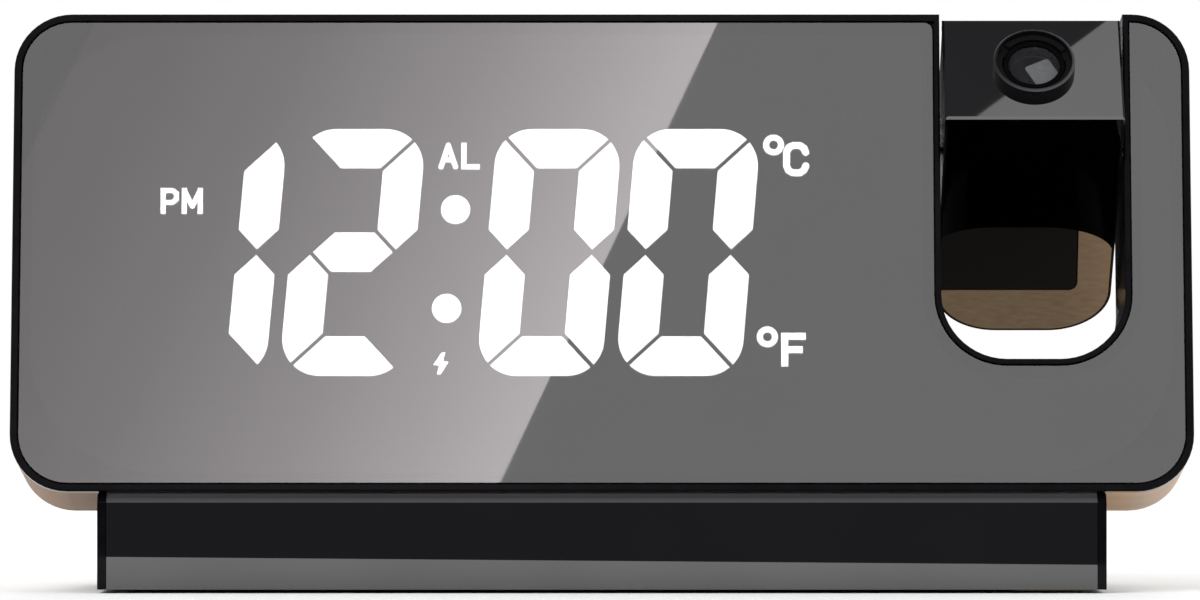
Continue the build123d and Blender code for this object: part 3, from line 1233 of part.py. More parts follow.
with BuildPart() as base_bottom_cover:
    with BuildSketch(Plane.XY.offset(PAD_PROUD)):
        front_edge = FRONT + FASCIA_THICKNESS + BASE_WALL + FIT
        back_edge = BACK - BASE_WALL - FIT
        with Locations((0, (front_edge + back_edge) / 2)):
            Rectangle(BASE_WIDTH - 2 * BASE_WALL - 2 * FIT, back_edge - front_edge)
        with Locations(*COVER_SPOTS):
            Circle(SMALL_SCREW_RADIUS + FIT, mode=Mode.SUBTRACT)
    extrude(amount=COVER_THICKNESS)
    with BuildSketch(Plane.XY.offset(PAD_PROUD)):
        with Locations(*COVER_SPOTS):
            Circle(SMALL_HEAD_RADIUS + FIT)
        RectangleRounded(PAD_SIZE[0] + 2 * FIT, PAD_SIZE[1] + 2 * FIT, PAD_CORNER + FIT)
    extrude(amount=PAD_THICKNESS - PAD_PROUD, mode=Mode.SUBTRACT)
save(base_bottom_cover, "base_bottom_cover")

with BuildPart() as anti_slip_pad:
    with BuildSketch(Plane.XY):
        RectangleRounded(*PAD_SIZE, PAD_CORNER)
    extrude(amount=PAD_THICKNESS)
save(anti_slip_pad, "anti_slip_pad")

HEAD_SEAT = PAD_THICKNESS
DOWNWARDS = Plane(origin=(0, 0, HEAD_SEAT), x_dir=(1, 0, 0), z_dir=(0, 0, -1))
cover_screws = screws(
    DOWNWARDS,
    [(x, -y) for x, y in COVER_SPOTS],
    SMALL_SCREW_RADIUS,
    COVER_TOP - HEAD_SEAT + SMALL_SCREW_LENGTH - PLAY,
    SMALL_HEAD_RADIUS,
    PAD_THICKNESS - PAD_PROUD - FIT / 2,
)
save(cover_screws, "base_cover_screws")

with BuildPart() as ballast_weight:
    with BuildSketch(Plane.XY.offset(COVER_TOP)):
        RectangleRounded(*BALLAST_SIZE, BASE_CORNER)
    extrude(amount=BALLAST_THICKNESS)
save(ballast_weight, "ballast_weight")

BASE_TOP_INSIDE = UNDER.offset(-BASE_WALL)
UPWARDS = Plane(
    origin=BASE_TOP_INSIDE.origin, x_dir=(-1, 0, 0), z_dir=(0, -UNDER.z_dir.Y, -UNDER.z_dir.Z)
)
body_screws = screws(
    UPWARDS,
    [(-x, y) for x, y in BODY_SCREW_SPOTS],
    SCREW_RADIUS,
    BASE_WALL + BODY_SCREW_GRIP,
    SCREW_HEAD_RADIUS,
    SCREW_HEAD,
)
save(body_screws, "body_to_base_screws")

# ---------------------------------------------------------------- reference values
print("pivot", [round(v, 3) for v in PIVOT])
print("arm end normal", [round(v, 5) for v in END.z_dir])
print("lens axis at the end face", [round(v, 3) for v in END.origin])
print("outward normal of the back", [round(-v, 5) for v in FACE.z_dir])
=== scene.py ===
# %% [markdown]
# # A projection alarm clock, dressed in Blender
#
# The clock's solids come ready made, at their real size. This lesson gives every solid
# the finish of the real thing, adds the small pieces that the solids leave out, such as
# printed signs, gold contacts and the lens's curved glass, and then lights the clock like
# a product on a pale table.
#
# All lengths below are written in millimetres and turned into Blender's metres by MM.
# The clock's front faces -Y, +X is to its right and +Z is up.

# %% Load the solids
import math

import bpy
from mathutils import Matrix, Vector


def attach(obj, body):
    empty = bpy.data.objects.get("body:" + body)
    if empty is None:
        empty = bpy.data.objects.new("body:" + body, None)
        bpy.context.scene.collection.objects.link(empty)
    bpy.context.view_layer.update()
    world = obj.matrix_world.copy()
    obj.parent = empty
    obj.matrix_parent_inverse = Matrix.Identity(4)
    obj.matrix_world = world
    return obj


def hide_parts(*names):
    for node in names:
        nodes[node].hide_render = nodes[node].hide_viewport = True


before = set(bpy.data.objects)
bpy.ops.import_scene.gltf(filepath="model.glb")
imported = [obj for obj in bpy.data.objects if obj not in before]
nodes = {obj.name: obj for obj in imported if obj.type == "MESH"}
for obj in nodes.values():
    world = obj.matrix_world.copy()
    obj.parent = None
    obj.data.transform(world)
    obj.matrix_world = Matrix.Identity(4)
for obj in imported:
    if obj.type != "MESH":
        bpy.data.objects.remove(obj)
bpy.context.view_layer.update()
MM = 0.001
print("solids loaded:", len(nodes))

# %% [markdown]
# ## Directions on the clock
#
# The mirror face leans back, and the projector arm is turned towards the viewer. What is
# added to the back or to the arm's end face is placed in the frame of that face. A frame
# here is a matrix whose columns are its X, Y and Z directions and whose place is its
# origin, so a piece drawn flat can be stood up with one multiplication.

# %% Frames of the back and the projector's end face
LEAN = math.radians(9.7)
ARM_TURN = math.radians(60.7)  # from closed, where the arm lies along the mirror face
SEAT_HEIGHT = 16.2
FRONT_EDGE = -21.0
BODY_DEPTH = 23.0
PIVOT = Vector((68.7, 0.031, 72.765))
ARM_REACH = 17.9  # from the pivot to the arm's end face
LENS_FORWARD = 2.2  # from the pivot to the lens's axis


def frame_at(origin_mm, x_axis, z_axis):
    """Matrix of a frame at this place, from its X direction and the direction it faces."""
    z = Vector(z_axis).normalized()
    x = Vector(x_axis).normalized()
    y = z.cross(x)
    turned = Matrix((x, y, z)).transposed().to_4x4()
    return Matrix.Translation(Vector(origin_mm) * MM) @ turned


outward = Vector((0, -math.cos(LEAN), math.sin(LEAN)))
back_corner = Vector((0, FRONT_EDGE, SEAT_HEIGHT)) - outward * BODY_DEPTH
back = frame_at(back_corner, (-1, 0, 0), -outward)
arm_tilt = ARM_TURN - LEAN
lens_axis = Vector((0, -math.sin(arm_tilt), math.cos(arm_tilt)))
arm_front = Vector((0, -math.cos(arm_tilt), -math.sin(arm_tilt)))
head = frame_at(PIVOT + lens_axis * ARM_REACH + arm_front * LENS_FORWARD, (1, 0, 0), lens_axis)
print("face looks along", [round(v, 3) for v in outward])
print("lens looks along", [round(v, 3) for v in lens_axis])

# %% [markdown]
# ## The camera
#
# A long lens from 1.2 m away, level, at the height of the clock's middle. The long lens
# keeps the mirror's upper and lower edges almost the same width, as a catalogue picture
# does.

# %% Place the camera
CAMERA_PLACE = Vector((-0.3, -1222.7, 46.5))
FOCAL_LENGTH = 227.5
SENSOR_WIDTH = 36
NEAREST_SEEN, FARTHEST_SEEN = 50, 20000
bpy.ops.object.select_all(action="DESELECT")
bpy.ops.object.camera_add(location=CAMERA_PLACE * MM, rotation=(math.pi / 2, 0, 0))
camera = bpy.context.object
camera.name = "catalogue_camera"
camera.data.lens = FOCAL_LENGTH
camera.data.sensor_width = SENSOR_WIDTH
camera.data.clip_start = NEAREST_SEEN * MM
camera.data.clip_end = FARTHEST_SEEN * MM
bpy.context.scene.camera = camera
bpy.context.scene.view_settings.view_transform = "Standard"

# %% [markdown]
# ## Colours and nodes
#
# Colours are written as on the web, as sRGB hex values, and one function turns them into
# the linear values that the shader works with. One more function adds a node, sets its
# properties and fills its sockets, either with a value or with a link from another node.

# %% Two helpers for materials
def linear(hex_colour):
    """Linear RGBA of an sRGB colour such as #8a7f70."""
    values = [int(hex_colour[i : i + 2], 16) / 255 for i in (1, 3, 5)]
    return tuple(v / 12.92 if v <= 0.04045 else ((v + 0.055) / 1.055) ** 2.4 for v in values) + (1,)


def add_node(tree, kind, sockets=None, **settings):
    """Adds a shader node; sockets maps an input to a value or to the output that feeds it."""
    node = tree.nodes.new("ShaderNode" + kind)
    for name, value in settings.items():
        setattr(node, name, value)
    for socket, value in (sockets or {}).items():
        if isinstance(value, bpy.types.NodeSocket):
            tree.links.new(value, node.inputs[socket])
        else:
            node.inputs[socket].default_value = value
    return node


print("linear mid grey:", [round(v, 3) for v in linear("#808080")])

# %% [markdown]
# Hardly any made surface is one flat colour: a mould, a rolling mill or a coat of ink
# always leaves a slight pattern, and it shows in the colour and in the gloss together.
# The function below makes such a finish. It takes two colours and a range of roughness,
# and one noise on the piece's own coordinates moves between them. The size of the noise
# is given in millimetres, and stretch draws it out along an axis, as grain is.


# %% A finish with a made surface's slight pattern
NOISE_SPREAD = {"From Min": 0.3, "From Max": 0.7}  # nearly all of a noise lies between these


def worked_finish(
    name, colours, roughness, size_mm, stretch=(1, 1, 1), detail=2.0, depth_mm=0, **shader_values
):
    """Material whose colour and gloss vary with one noise; depth_mm gives it relief."""
    material = bpy.data.materials.new(name)
    material.use_nodes = True
    tree = material.node_tree
    shader = tree.nodes["Principled BSDF"]
    for socket, value in shader_values.items():
        shader.inputs[socket.replace("_", " ")].default_value = value
    place = add_node(tree, "TexCoord")
    drawn = add_node(
        tree,
        "Mapping",
        {"Vector": place.outputs["Object"], "Scale": [1 / s for s in stretch]},
        name="stretch",
    )
    noise = add_node(
        tree,
        "TexNoise",
        {"Vector": drawn.outputs[0], "Scale": 1 / (size_mm * MM), "Detail": detail},
        name="pattern",
    )
    even = add_node(tree, "MapRange", {"Value": noise.outputs[0], **NOISE_SPREAD}, name="even")
    colour = add_node(
        tree,
        "Mix",
        {"Factor": even.outputs[0], 6: linear(colours[0]), 7: linear(colours[1])},
        data_type="RGBA",
        name="colour",
    )
    gloss = add_node(
        tree,
        "MapRange",
        {"Value": even.outputs[0], "To Min": roughness[0], "To Max": roughness[1]},
        name="gloss",
    )
    tree.links.new(colour.outputs[2], shader.inputs["Base Color"])
    tree.links.new(gloss.outputs[0], shader.inputs["Roughness"])
    if depth_mm:
        bump = add_node(tree, "Bump", {"Height": noise.outputs[0], "Distance": depth_mm * MM})
        tree.links.new(bump.outputs[0], shader.inputs["Normal"])
    return material


# %% [markdown]
# ## Gloss black ABS
#
# The bezel, the slot's lining, the arm's case and the base are injection-moulded ABS from
# a polished mould. Such a surface is never perfectly flat: it has a very slight orange
# peel, about 3 mm from crest to crest and 2 thousandths of a millimetre high. The plastic
# is almost black, and its faintly hazed polish keeps the highlights low. The base is
# satin on top, where the body sits, so there the normal points up and a lighter, rougher
# black takes over.

# %% Gloss black ABS
ABS_BLACKS = ("#08080a", "#0d0d10")
POLISHED_ABS = {"size_mm": 3.0, "detail": 1.0, "depth_mm": 0.002, "IOR": 1.5}
SATIN = 0.5
gloss_abs = worked_finish(
    "gloss_black_abs", ABS_BLACKS, (0.09, 0.15), **POLISHED_ABS, Specular_IOR_Level=0.05
)
base_abs = worked_finish(
    "polished_black_abs", ABS_BLACKS, (0.1, 0.16), **POLISHED_ABS, Specular_IOR_Level=0.09
)
tree = base_abs.node_tree
shader = tree.nodes["Principled BSDF"]
normal = add_node(tree, "NewGeometry")
parts = add_node(tree, "SeparateXYZ", {0: normal.outputs["Normal"]})
on_top = add_node(tree, "MapRange", {"Value": parts.outputs["Z"], "From Min": 0.9, "From Max": 0.98})
top_colour = add_node(
    tree,
    "Mix",
    {"Factor": on_top.outputs[0], 6: tree.nodes["colour"].outputs[2], 7: linear("#403e3b")},
    data_type="RGBA",
)
top_gloss = add_node(
    tree, "Mix", {"Factor": on_top.outputs[0], "A": tree.nodes["gloss"].outputs[0], "B": SATIN}
)
tree.links.new(top_colour.outputs[2], shader.inputs["Base Color"])
tree.links.new(top_gloss.outputs[0], shader.inputs["Roughness"])

# %% [markdown]
# ## Half-mirror film
#
# The front is a clear sheet with a thin metal film. It reflects about a seventh of the
# light and lets the lit figures behind it through. A metal shader gives the reflection,
# and a constant alpha lets part of what lies behind show: light crosses both faces of the
# sheet, so an alpha of 0.8 lets through 0.2 times 0.2, a twenty-fifth. The other bright
# faces of the clock have the same film on a black backing, so they have no alpha.

# %% Half-mirror film, see-through and backed
half_mirror = worked_finish(
    "half_mirror_sheet", ("#727272", "#737373"), (0.006, 0.012), size_mm=22.0, Metallic=1.0, Alpha=0.8
)
FILM_GREYS = ("#666666", "#6a6a6a")
BACKED_FILM = {"roughness": (0.008, 0.018), "size_mm": 22.0, "Metallic": 1.0}
backed_mirror = worked_finish("backed_mirror_film", FILM_GREYS, **BACKED_FILM)

# %% [markdown]
# On two plates the film stops at an edge, and the bare plastic shows. The surface's own
# normal tells the two apart, since it swings to one side there. Past the edge the shader
# is no longer a metal, and its colour changes. The function below does this, and hands
# back its mask, for whatever else has to change.


# %% Where a film stops
def stop_film(film, swing, bare_colour):
    """Ends the film where its normal swings this way; the mask it returns is 1 on the film."""
    tree = film.node_tree
    shader = tree.nodes["Principled BSDF"]
    on_film = add_node(
        tree,
        "MapRange",
        {"Value": swing, "From Min": 0.2, "From Max": 0.4, "To Min": 1.0, "To Max": 0.0},
    )
    film_colour = add_node(
        tree,
        "Mix",
        {"Factor": on_film.outputs[0], 6: bare_colour, 7: tree.nodes["colour"].outputs[2]},
        data_type="RGBA",
    )
    tree.links.new(on_film.outputs[0], shader.inputs["Metallic"])
    tree.links.new(film_colour.outputs[2], shader.inputs["Base Color"])
    return on_film.outputs[0]


# %% [markdown]
# The base's front plate has the film on its upright face. Its bevelled top edge is bare,
# satin black plastic, with painted light: it turns paler towards its top, where the body's
# overhang shades it. The normal points up on the bevel only.

# %% Front plate of the base
PAINTED_LIGHT_FROM, PAINTED_LIGHT_FULL = 15.25, 15.75  # heights above the table
fascia_film = worked_finish("fascia_mirror_film", ("#5f5f5f", "#636363"), **BACKED_FILM)
tree = fascia_film.node_tree
normal = add_node(tree, "NewGeometry")
parts = add_node(tree, "SeparateXYZ", {0: normal.outputs["Normal"]})
place = add_node(tree, "TexCoord")
position = add_node(tree, "SeparateXYZ", {0: place.outputs["Object"]})
# Painted light: the bevel is painted paler towards its top, against the shade under the body.
painted_light = add_node(
    tree,
    "MapRange",
    {"Value": position.outputs["Z"], "From Min": PAINTED_LIGHT_FROM * MM, "From Max": PAINTED_LIGHT_FULL * MM},
)
bare = add_node(
    tree,
    "Mix",
    {"Factor": painted_light.outputs[0], 6: linear("#48484b"), 7: linear("#808083")},
    data_type="RGBA",
)
on_film = stop_film(fascia_film, parts.outputs["Z"], bare.outputs[2])
bevel_gloss = add_node(tree, "Mix", {"Factor": on_film, "A": 0.45, "B": tree.nodes["gloss"].outputs[0]})
tree.links.new(bevel_gloss.outputs[0], tree.nodes["Principled BSDF"].inputs["Roughness"])

# %% [markdown]
# The arm's end plate is sawn from a sheet with the same film. Its left and right edges
# stay bare, so the shine stops there and the plate turns a plain gloss black.

# %% End plate of the arm
end_film = worked_finish("end_mirror_film", FILM_GREYS, **BACKED_FILM, Specular_IOR_Level=0.05)
tree = end_film.node_tree
place = add_node(tree, "TexCoord")
surface = add_node(tree, "SeparateXYZ", {0: place.outputs["Normal"]})
sideways = add_node(tree, "Math", {0: surface.outputs["X"]}, operation="ABSOLUTE")
stop_film(end_film, sideways.outputs[0], linear("#0c0c0e"))

# %% [markdown]
# ## Wood-toned satin shell
#
# The rear shell is moulded ABS under a printed wood foil: a warm taupe with grain lines
# that run along the clock, about half a millimetre apart and a few centimetres long. Real
# foil also has a broad light and dark figure, several millimetres wide, so a second noise
# goes over the first. A painted shade makes the shell darker and warmer towards its left end.
#
# The foil is folded over the shell's ends. There the grain turns the corner with it and
# runs from front to back, so both noises are made once more, drawn out along the body's
# depth, and the surface's normal tells where they take over.

# %% Wood-toned shell
GRAIN_DRAWN_OUT, GRAIN_SIZE, GRAIN_DETAIL = 60, 0.45, 4.0
FIGURE_DRAWN_OUT, FIGURE_SIZE, FIGURE_DETAIL = 14, 5.0, 3.0
wood_shell = worked_finish(
    "wood_foil_shell",
    ("#9e8470", "#cdb098"),
    (0.36, 0.5),
    size_mm=GRAIN_SIZE,
    stretch=(GRAIN_DRAWN_OUT, 1, 1),
    detail=GRAIN_DETAIL,
    depth_mm=0.012,
    Specular_IOR_Level=0.08,
)
tree = wood_shell.node_tree
place = add_node(tree, "TexCoord")
drawn = add_node(
    tree, "Mapping", {"Vector": place.outputs["Object"], "Scale": (1 / FIGURE_DRAWN_OUT, 1, 1)}
)
figure = add_node(
    tree,
    "TexNoise",
    {"Vector": drawn.outputs[0], "Scale": 1 / (FIGURE_SIZE * MM), "Detail": FIGURE_DETAIL},
)

# %% Grain folded over the shell's ends
surface = add_node(tree, "SeparateXYZ", {0: place.outputs["Normal"]})
sideways = add_node(tree, "Math", {0: surface.outputs["X"]}, operation="ABSOLUTE")
on_ends = add_node(tree, "MapRange", {"Value": sideways.outputs[0], "From Min": 0.6, "From Max": 0.8})
FOIL_LINES = {
    # name: noise on the back and top, how far it is drawn out, its size in mm, its detail
    "grain": (tree.nodes["pattern"], GRAIN_DRAWN_OUT, GRAIN_SIZE, GRAIN_DETAIL),
    "figure": (figure, FIGURE_DRAWN_OUT, FIGURE_SIZE, FIGURE_DETAIL),
}
folded = {}
for name, (on_back, drawn_out, size_mm, detail) in FOIL_LINES.items():
    depthwise = add_node(
        tree,
        "Mapping",
        {"Vector": place.outputs["Object"], "Rotation": (-LEAN, 0, 0), "Scale": (1, drawn_out, 1)},
        vector_type="TEXTURE",
    )
    on_end = add_node(
        tree, "TexNoise", {"Vector": depthwise.outputs[0], "Scale": 1 / (size_mm * MM), "Detail": detail}
    )
    folded[name] = add_node(
        tree, "Mix", {"Factor": on_ends.outputs[0], "A": on_back.outputs[0], "B": on_end.outputs[0]}
    ).outputs[0]
tree.links.new(folded["grain"], tree.nodes["even"].inputs["Value"])
tree.links.new(folded["grain"], tree.nodes["Bump"].inputs["Height"])
print("foil patterns:", ", ".join(folded))

# %% Foil colours
BODY_HALF = 94.0  # half the body's width
tones = add_node(tree, "MapRange", {"Value": folded["figure"], **NOISE_SPREAD})
broad = add_node(
    tree,
    "Mix",
    {"Factor": tones.outputs[0], 6: linear("#aa9179"), 7: linear("#c1a68d")},
    data_type="RGBA",
)
foil = add_node(
    tree,
    "Mix",
    {"Factor": 0.5, 6: tree.nodes["colour"].outputs[2], 7: broad.outputs[2]},
    data_type="RGBA",
)
across = add_node(tree, "SeparateXYZ", {0: place.outputs["Object"]})
# Painted shade: from right to left the foil is multiplied down to a darker, warmer tone.
painted_shade_across = add_node(
    tree,
    "MapRange",
    {"Value": across.outputs["X"], "From Min": -BODY_HALF * MM, "From Max": BODY_HALF * MM},
)
board = add_node(
    tree,
    "Mix",
    {"Factor": painted_shade_across.outputs[0], 6: linear("#baaa96"), 7: (1, 1, 1, 1)},
    data_type="RGBA",
)
toned = add_node(
    tree,
    "Mix",
    {"Factor": 1.0, 6: foil.outputs[2], 7: board.outputs[2]},
    data_type="RGBA",
    blend_type="MULTIPLY",
)
tree.links.new(toned.outputs[2], tree.nodes["Principled BSDF"].inputs["Base Color"])

# %% [markdown]
# ## Lit and unlit segments
#
# Each segment is a plug of milky plastic over a light-emitting diode. The lit ones glow
# evenly, their strength changing a little from place to place with a noise. They are set
# brighter than white, because the film in front lets only a twenty-fifth of their light through.

# %% Lit and unlit segments
lit_plastic = worked_finish(
    "lit_milky_polycarbonate",
    ("#ecece8", "#f6f6f2"),
    (0.45, 0.55),
    size_mm=9.0,
    Emission_Color=(1, 1, 1, 1),
)
tree = lit_plastic.node_tree
glow = add_node(tree, "MapRange", {"Value": tree.nodes["even"].outputs[0], "To Min": 23.5, "To Max": 25.0})
tree.links.new(glow.outputs[0], tree.nodes["Principled BSDF"].inputs["Emission Strength"])

unlit_plastic = worked_finish("unlit_milky_polycarbonate", ("#141414", "#181818"), (0.5, 0.6), size_mm=6.0)

# %% [markdown]
# ## Black plastics that are not glossy
#
# The light guide, the lens barrel and the lamp house come from sparked moulds: dead
# black, so that they kill stray light. The buttons and the base's cover have the usual
# fine texture of about a third of a millimetre. The focus ring is acetal, turned smooth,
# with a metal trim pressed on along its rim. The trim's colour is a painted highlight,
# dark at first and paler towards the ring's lower right. The ring's own coordinates and
# normals tell where that rim is: high above the end face, and facing outwards along the
# lens's axis, on its chamfer too.

# %% Textured, dead and ring blacks
textured_black = worked_finish(
    "textured_black_abs", ("#121213", "#1b1b1d"), (0.5, 0.65), size_mm=0.35, depth_mm=0.02
)
dead_black = worked_finish(
    "dead_black_polycarbonate", ("#050505", "#090909"), (0.8, 0.95), size_mm=0.3, Specular_IOR_Level=0.02
)
ring_black = worked_finish(
    "turned_black_acetal",
    ("#08080a", "#0e0e10"),
    (0.25, 0.35),
    size_mm=0.25,
    Specular_IOR_Level=0.06,
)

# %% Trim along the ring's rim
TRIM_FROM, TRIM_FULL = 3.4, 3.5  # heights above the end face
HIGHLIGHT_REACH = 5.0  # the painted highlight grows over this much on each side of the ring's middle
tree = ring_black.node_tree
shader = tree.nodes["Principled BSDF"]
place = add_node(tree, "TexCoord")
from_end = add_node(
    tree, "VectorMath", {0: place.outputs["Object"], 1: head.translation}, operation="SUBTRACT"
)
height = add_node(tree, "VectorMath", {0: from_end.outputs[0], 1: lens_axis}, operation="DOT_PRODUCT")
facing = add_node(tree, "VectorMath", {0: place.outputs["Normal"], 1: lens_axis}, operation="DOT_PRODUCT")
high = add_node(
    tree,
    "MapRange",
    {"Value": height.outputs["Value"], "From Min": TRIM_FROM * MM, "From Max": TRIM_FULL * MM},
)
outward_only = add_node(
    tree, "MapRange", {"Value": facing.outputs["Value"], "From Min": 0.55, "From Max": 0.65}
)
rim = add_node(tree, "Math", {0: high.outputs[0], 1: outward_only.outputs[0]}, operation="MULTIPLY")
# Painted highlight: the trim's colour turns paler towards the ring's lower right, where it catches the light.
highlight_side = head.to_3x3() @ Vector((0.8, -0.6, 0))
towards_highlight = add_node(
    tree, "VectorMath", {0: from_end.outputs[0], 1: highlight_side}, operation="DOT_PRODUCT"
)
painted_highlight = add_node(
    tree,
    "MapRange",
    {"Value": towards_highlight.outputs["Value"], "From Min": -HIGHLIGHT_REACH * MM, "From Max": HIGHLIGHT_REACH * MM},
)
trim = add_node(
    tree,
    "Mix",
    {"Factor": painted_highlight.outputs[0], 6: linear("#29292b"), 7: linear("#505052")},
    data_type="RGBA",
)
rim_colour = add_node(
    tree,
    "Mix",
    {"Factor": rim.outputs[0], 6: tree.nodes["colour"].outputs[2], 7: trim.outputs[2]},
    data_type="RGBA",
)
tree.links.new(rim.outputs[0], shader.inputs["Metallic"])
tree.links.new(rim_colour.outputs[2], shader.inputs["Base Color"])

# %% [markdown]
# ## Metals
#
# Zinc-plated screws are a soft grey with small brighter crystals. The pins and washers
# are turned steel. The connector shell is bright tin, the heat sink dark anodised
# aluminium, and the lamp's board bare aluminium. The speaker's can and the ballast are
# plain steel sheet, the cell's pouch is foil, and the contacts are gold on nickel.

# %% Metals
METALS = {
    # name: darker colour, lighter colour, roughness from, to, crystal or scratch size in mm
    "zinc_plated_steel": ("#7d7d80", "#a0a0a2", 0.28, 0.42, 0.6),
    "turned_steel": ("#8a8a8d", "#a9a9ab", 0.2, 0.3, 0.3),
    "tinned_shell_steel": ("#a6a6a8", "#bdbdbf", 0.16, 0.24, 0.8),
    "anodised_aluminium": ("#2b2b2e", "#3a3a3d", 0.35, 0.45, 0.4),
    "bare_aluminium": ("#b4b6b8", "#c9cbcc", 0.3, 0.42, 0.7),
    "steel_sheet": ("#6b6b6d", "#88888a", 0.32, 0.5, 2.2),
    "cell_foil": ("#a9abad", "#c4c6c8", 0.24, 0.4, 3.0),
    "gold_contact": ("#c59a4a", "#dcb565", 0.2, 0.3, 0.5),
}
metals = {
    name: worked_finish(name, (darker, lighter), (low, high), size, detail=3.0, Metallic=1.0)
    for name, (darker, lighter, low, high, size) in METALS.items()
}
print("metals:", ", ".join(metals))

# %% [markdown]
# ## Boards, chips and small plastics
#
# These sit behind the shell and show only through the vents and the inlet, or when the
# case is opened. They still get the right base: green solder mask with a fine weave of
# glass under it, epoxy for the chips, nylon for the connectors, phosphor for the diodes.

# %% Inner plastics
PLASTICS = {
    # name: darker colour, lighter colour, roughness from, to, pattern size in mm
    "green_solder_mask": ("#0d3b20", "#15512c", 0.25, 0.4, 1.2),
    "chip_epoxy": ("#161617", "#202022", 0.5, 0.65, 0.3),
    "natural_nylon": ("#cfc8b4", "#e0dac8", 0.4, 0.5, 1.0),
    "white_acetal": ("#d4d3cf", "#e2e1dd", 0.35, 0.45, 1.5),
    "phosphor_ceramic": ("#d8c27a", "#e9d898", 0.5, 0.6, 0.5),
    "black_epoxy_bead": ("#111114", "#1b1b20", 0.25, 0.35, 0.6),
    "cable_pvc": ("#0f0f10", "#19191b", 0.45, 0.55, 0.8),
    "white_print_ink": ("#b9b9b6", "#c8c8c5", 0.6, 0.7, 0.3),
    # The slide's grey also paints the lens's reflection on the square behind its glass.
    "slide_glass_and_catchlight": ("#7a7c7d", "#868889", 0.3, 0.4, 0.9),
    "pressed_paper_cone": ("#1c1b1a", "#2a2927", 0.8, 0.95, 0.25),
}
plastics = {
    name: worked_finish(name, (darker, lighter), (low, high), size)
    for name, (darker, lighter, low, high, size) in PLASTICS.items()
}
print("plastics:", ", ".join(plastics))

# %% [markdown]
# ## Rubber and coated glass
#
# The pad under the base is moulded silicone rubber, matt with fine pimples. The lens is
# glass with an anti-reflection coat, so it mirrors hardly anything. An alpha of 0.35 on
# its front lets the pale square behind it show, a painted reflection, and the dark barrel
# makes the rest of the glass look black.

# %% Rubber and coated glass
pad_rubber = worked_finish("silicone_rubber", ("#121212", "#1c1c1c"), (0.7, 0.85), size_mm=0.6, depth_mm=0.04)
lens_glass = worked_finish(
    "coated_lens_glass",
    ("#2c2c2f", "#333337"),
    (0.03, 0.06),
    size_mm=5.0,
    detail=0.0,
    Specular_IOR_Level=0.12,
    Alpha=0.35,
)

# %% [markdown]
# ## Every solid gets its finish
#
# The table pairs each finish with the solids that are made of it.

# %% Finishes of the solids
FINISHES = [
    (gloss_abs, ["front_bezel", "projector_case"]),
    (base_abs, ["base_housing"]),
    (half_mirror, ["mirror_panel"]),
    (backed_mirror, ["arm_mirror"]),
    (end_film, ["projector_end_plate"]),
    (fascia_film, ["base_fascia"]),
    (wood_shell, ["rear_shell"]),
    (lit_plastic, ["lit_segments", "lit_signs"]),
    (unlit_plastic, ["unlit_segments"]),
    (dead_black, ["display_reflector", "sign_mask", "lamp_house", "lens_cell", "lens_retainer"]),
    (ring_black, ["focus_ring"]),
    (textured_black, ["base_bottom_cover", "button_switches"]),
    (textured_black, ["button_mode", "button_up", "button_down", "button_alarm", "button_projector"]),
    (metals["zinc_plated_steel"], ["rear_shell_screws", "board_screws", "projector_case_screws"]),
    (metals["zinc_plated_steel"], ["base_cover_screws", "body_to_base_screws"]),
    (metals["turned_steel"], ["pivot_pin_left", "pivot_pin_right", "pivot_washers"]),
    (metals["tinned_shell_steel"], ["power_inlet"]),
    (metals["anodised_aluminium"], ["heat_sink"]),
    (metals["bare_aluminium"], ["lamp_board"]),
    (metals["steel_sheet"], ["ballast_weight", "speaker"]),
    (metals["cell_foil"], ["battery_pack"]),
    (plastics["green_solder_mask"], ["display_board", "main_board"]),
    (plastics["chip_epoxy"], ["board_chips"]),
    (plastics["natural_nylon"], ["board_link", "cable_socket"]),
    (plastics["white_acetal"], ["hinge_bush_left", "hinge_bush_right"]),
    (plastics["phosphor_ceramic"], ["display_leds", "projector_led"]),
    (plastics["black_epoxy_bead"], ["temperature_sensor"]),
    (plastics["cable_pvc"], ["projector_cable"]),
    (plastics["slide_glass_and_catchlight"], ["projection_mask"]),
    (pad_rubber, ["anti_slip_pad"]),
    (lens_glass, ["focus_lens", "condenser_lens"]),
]
for finish, names in FINISHES:
    for name in names:
        solid = nodes[name]
        solid.data.materials.clear()
        solid.data.materials.append(finish)
unfinished = sorted(set(nodes) - {name for _, names in FINISHES for name in names})
print("solids with no finish:", unfinished)

# The film on the end face is soft, and shows no second ring under the real one.
for name in ("focus_ring", "lens_cell", "lens_retainer"):
    nodes[name].visible_glossy = False

# %% [markdown]
# ## Small pieces that the solids leave out
#
# Each piece is drawn flat, in millimetres times MM, around the origin of its frame, and
# stood up in its place at the end. The first helpers do what the hand does again and
# again: select pieces, start from a box, copy, join, and pick the faces that look one
# way. The last one moves a finished piece's place into its mesh, so that its object sits
# at the origin, gives it its finish and lets it ride on its body.


# %% Helpers for the pieces
def work_on(*pieces):
    """Selects just these, the first of them as the active object."""
    bpy.ops.object.select_all(action="DESELECT")
    for piece in pieces:
        piece.select_set(True)
    bpy.context.view_layer.objects.active = pieces[0]


def box(size_mm, height_mm):
    """Box of this size with its middle at this height."""
    bpy.ops.object.select_all(action="DESELECT")
    bpy.ops.mesh.primitive_cube_add(size=MM, location=(0, 0, height_mm * MM))
    bpy.ops.object.mode_set(mode="EDIT")
    bpy.ops.mesh.select_all(action="SELECT")
    bpy.ops.transform.resize(value=size_mm)
    bpy.ops.object.mode_set(mode="OBJECT")
    return bpy.context.object


def round_edges(piece, width_mm, segments):
    """Rounds every edge of the piece."""
    work_on(piece)
    bpy.ops.object.modifier_add(type="BEVEL")
    piece.modifiers["Bevel"].width = width_mm * MM
    piece.modifiers["Bevel"].segments = segments
    bpy.ops.object.modifier_apply(modifier="Bevel")


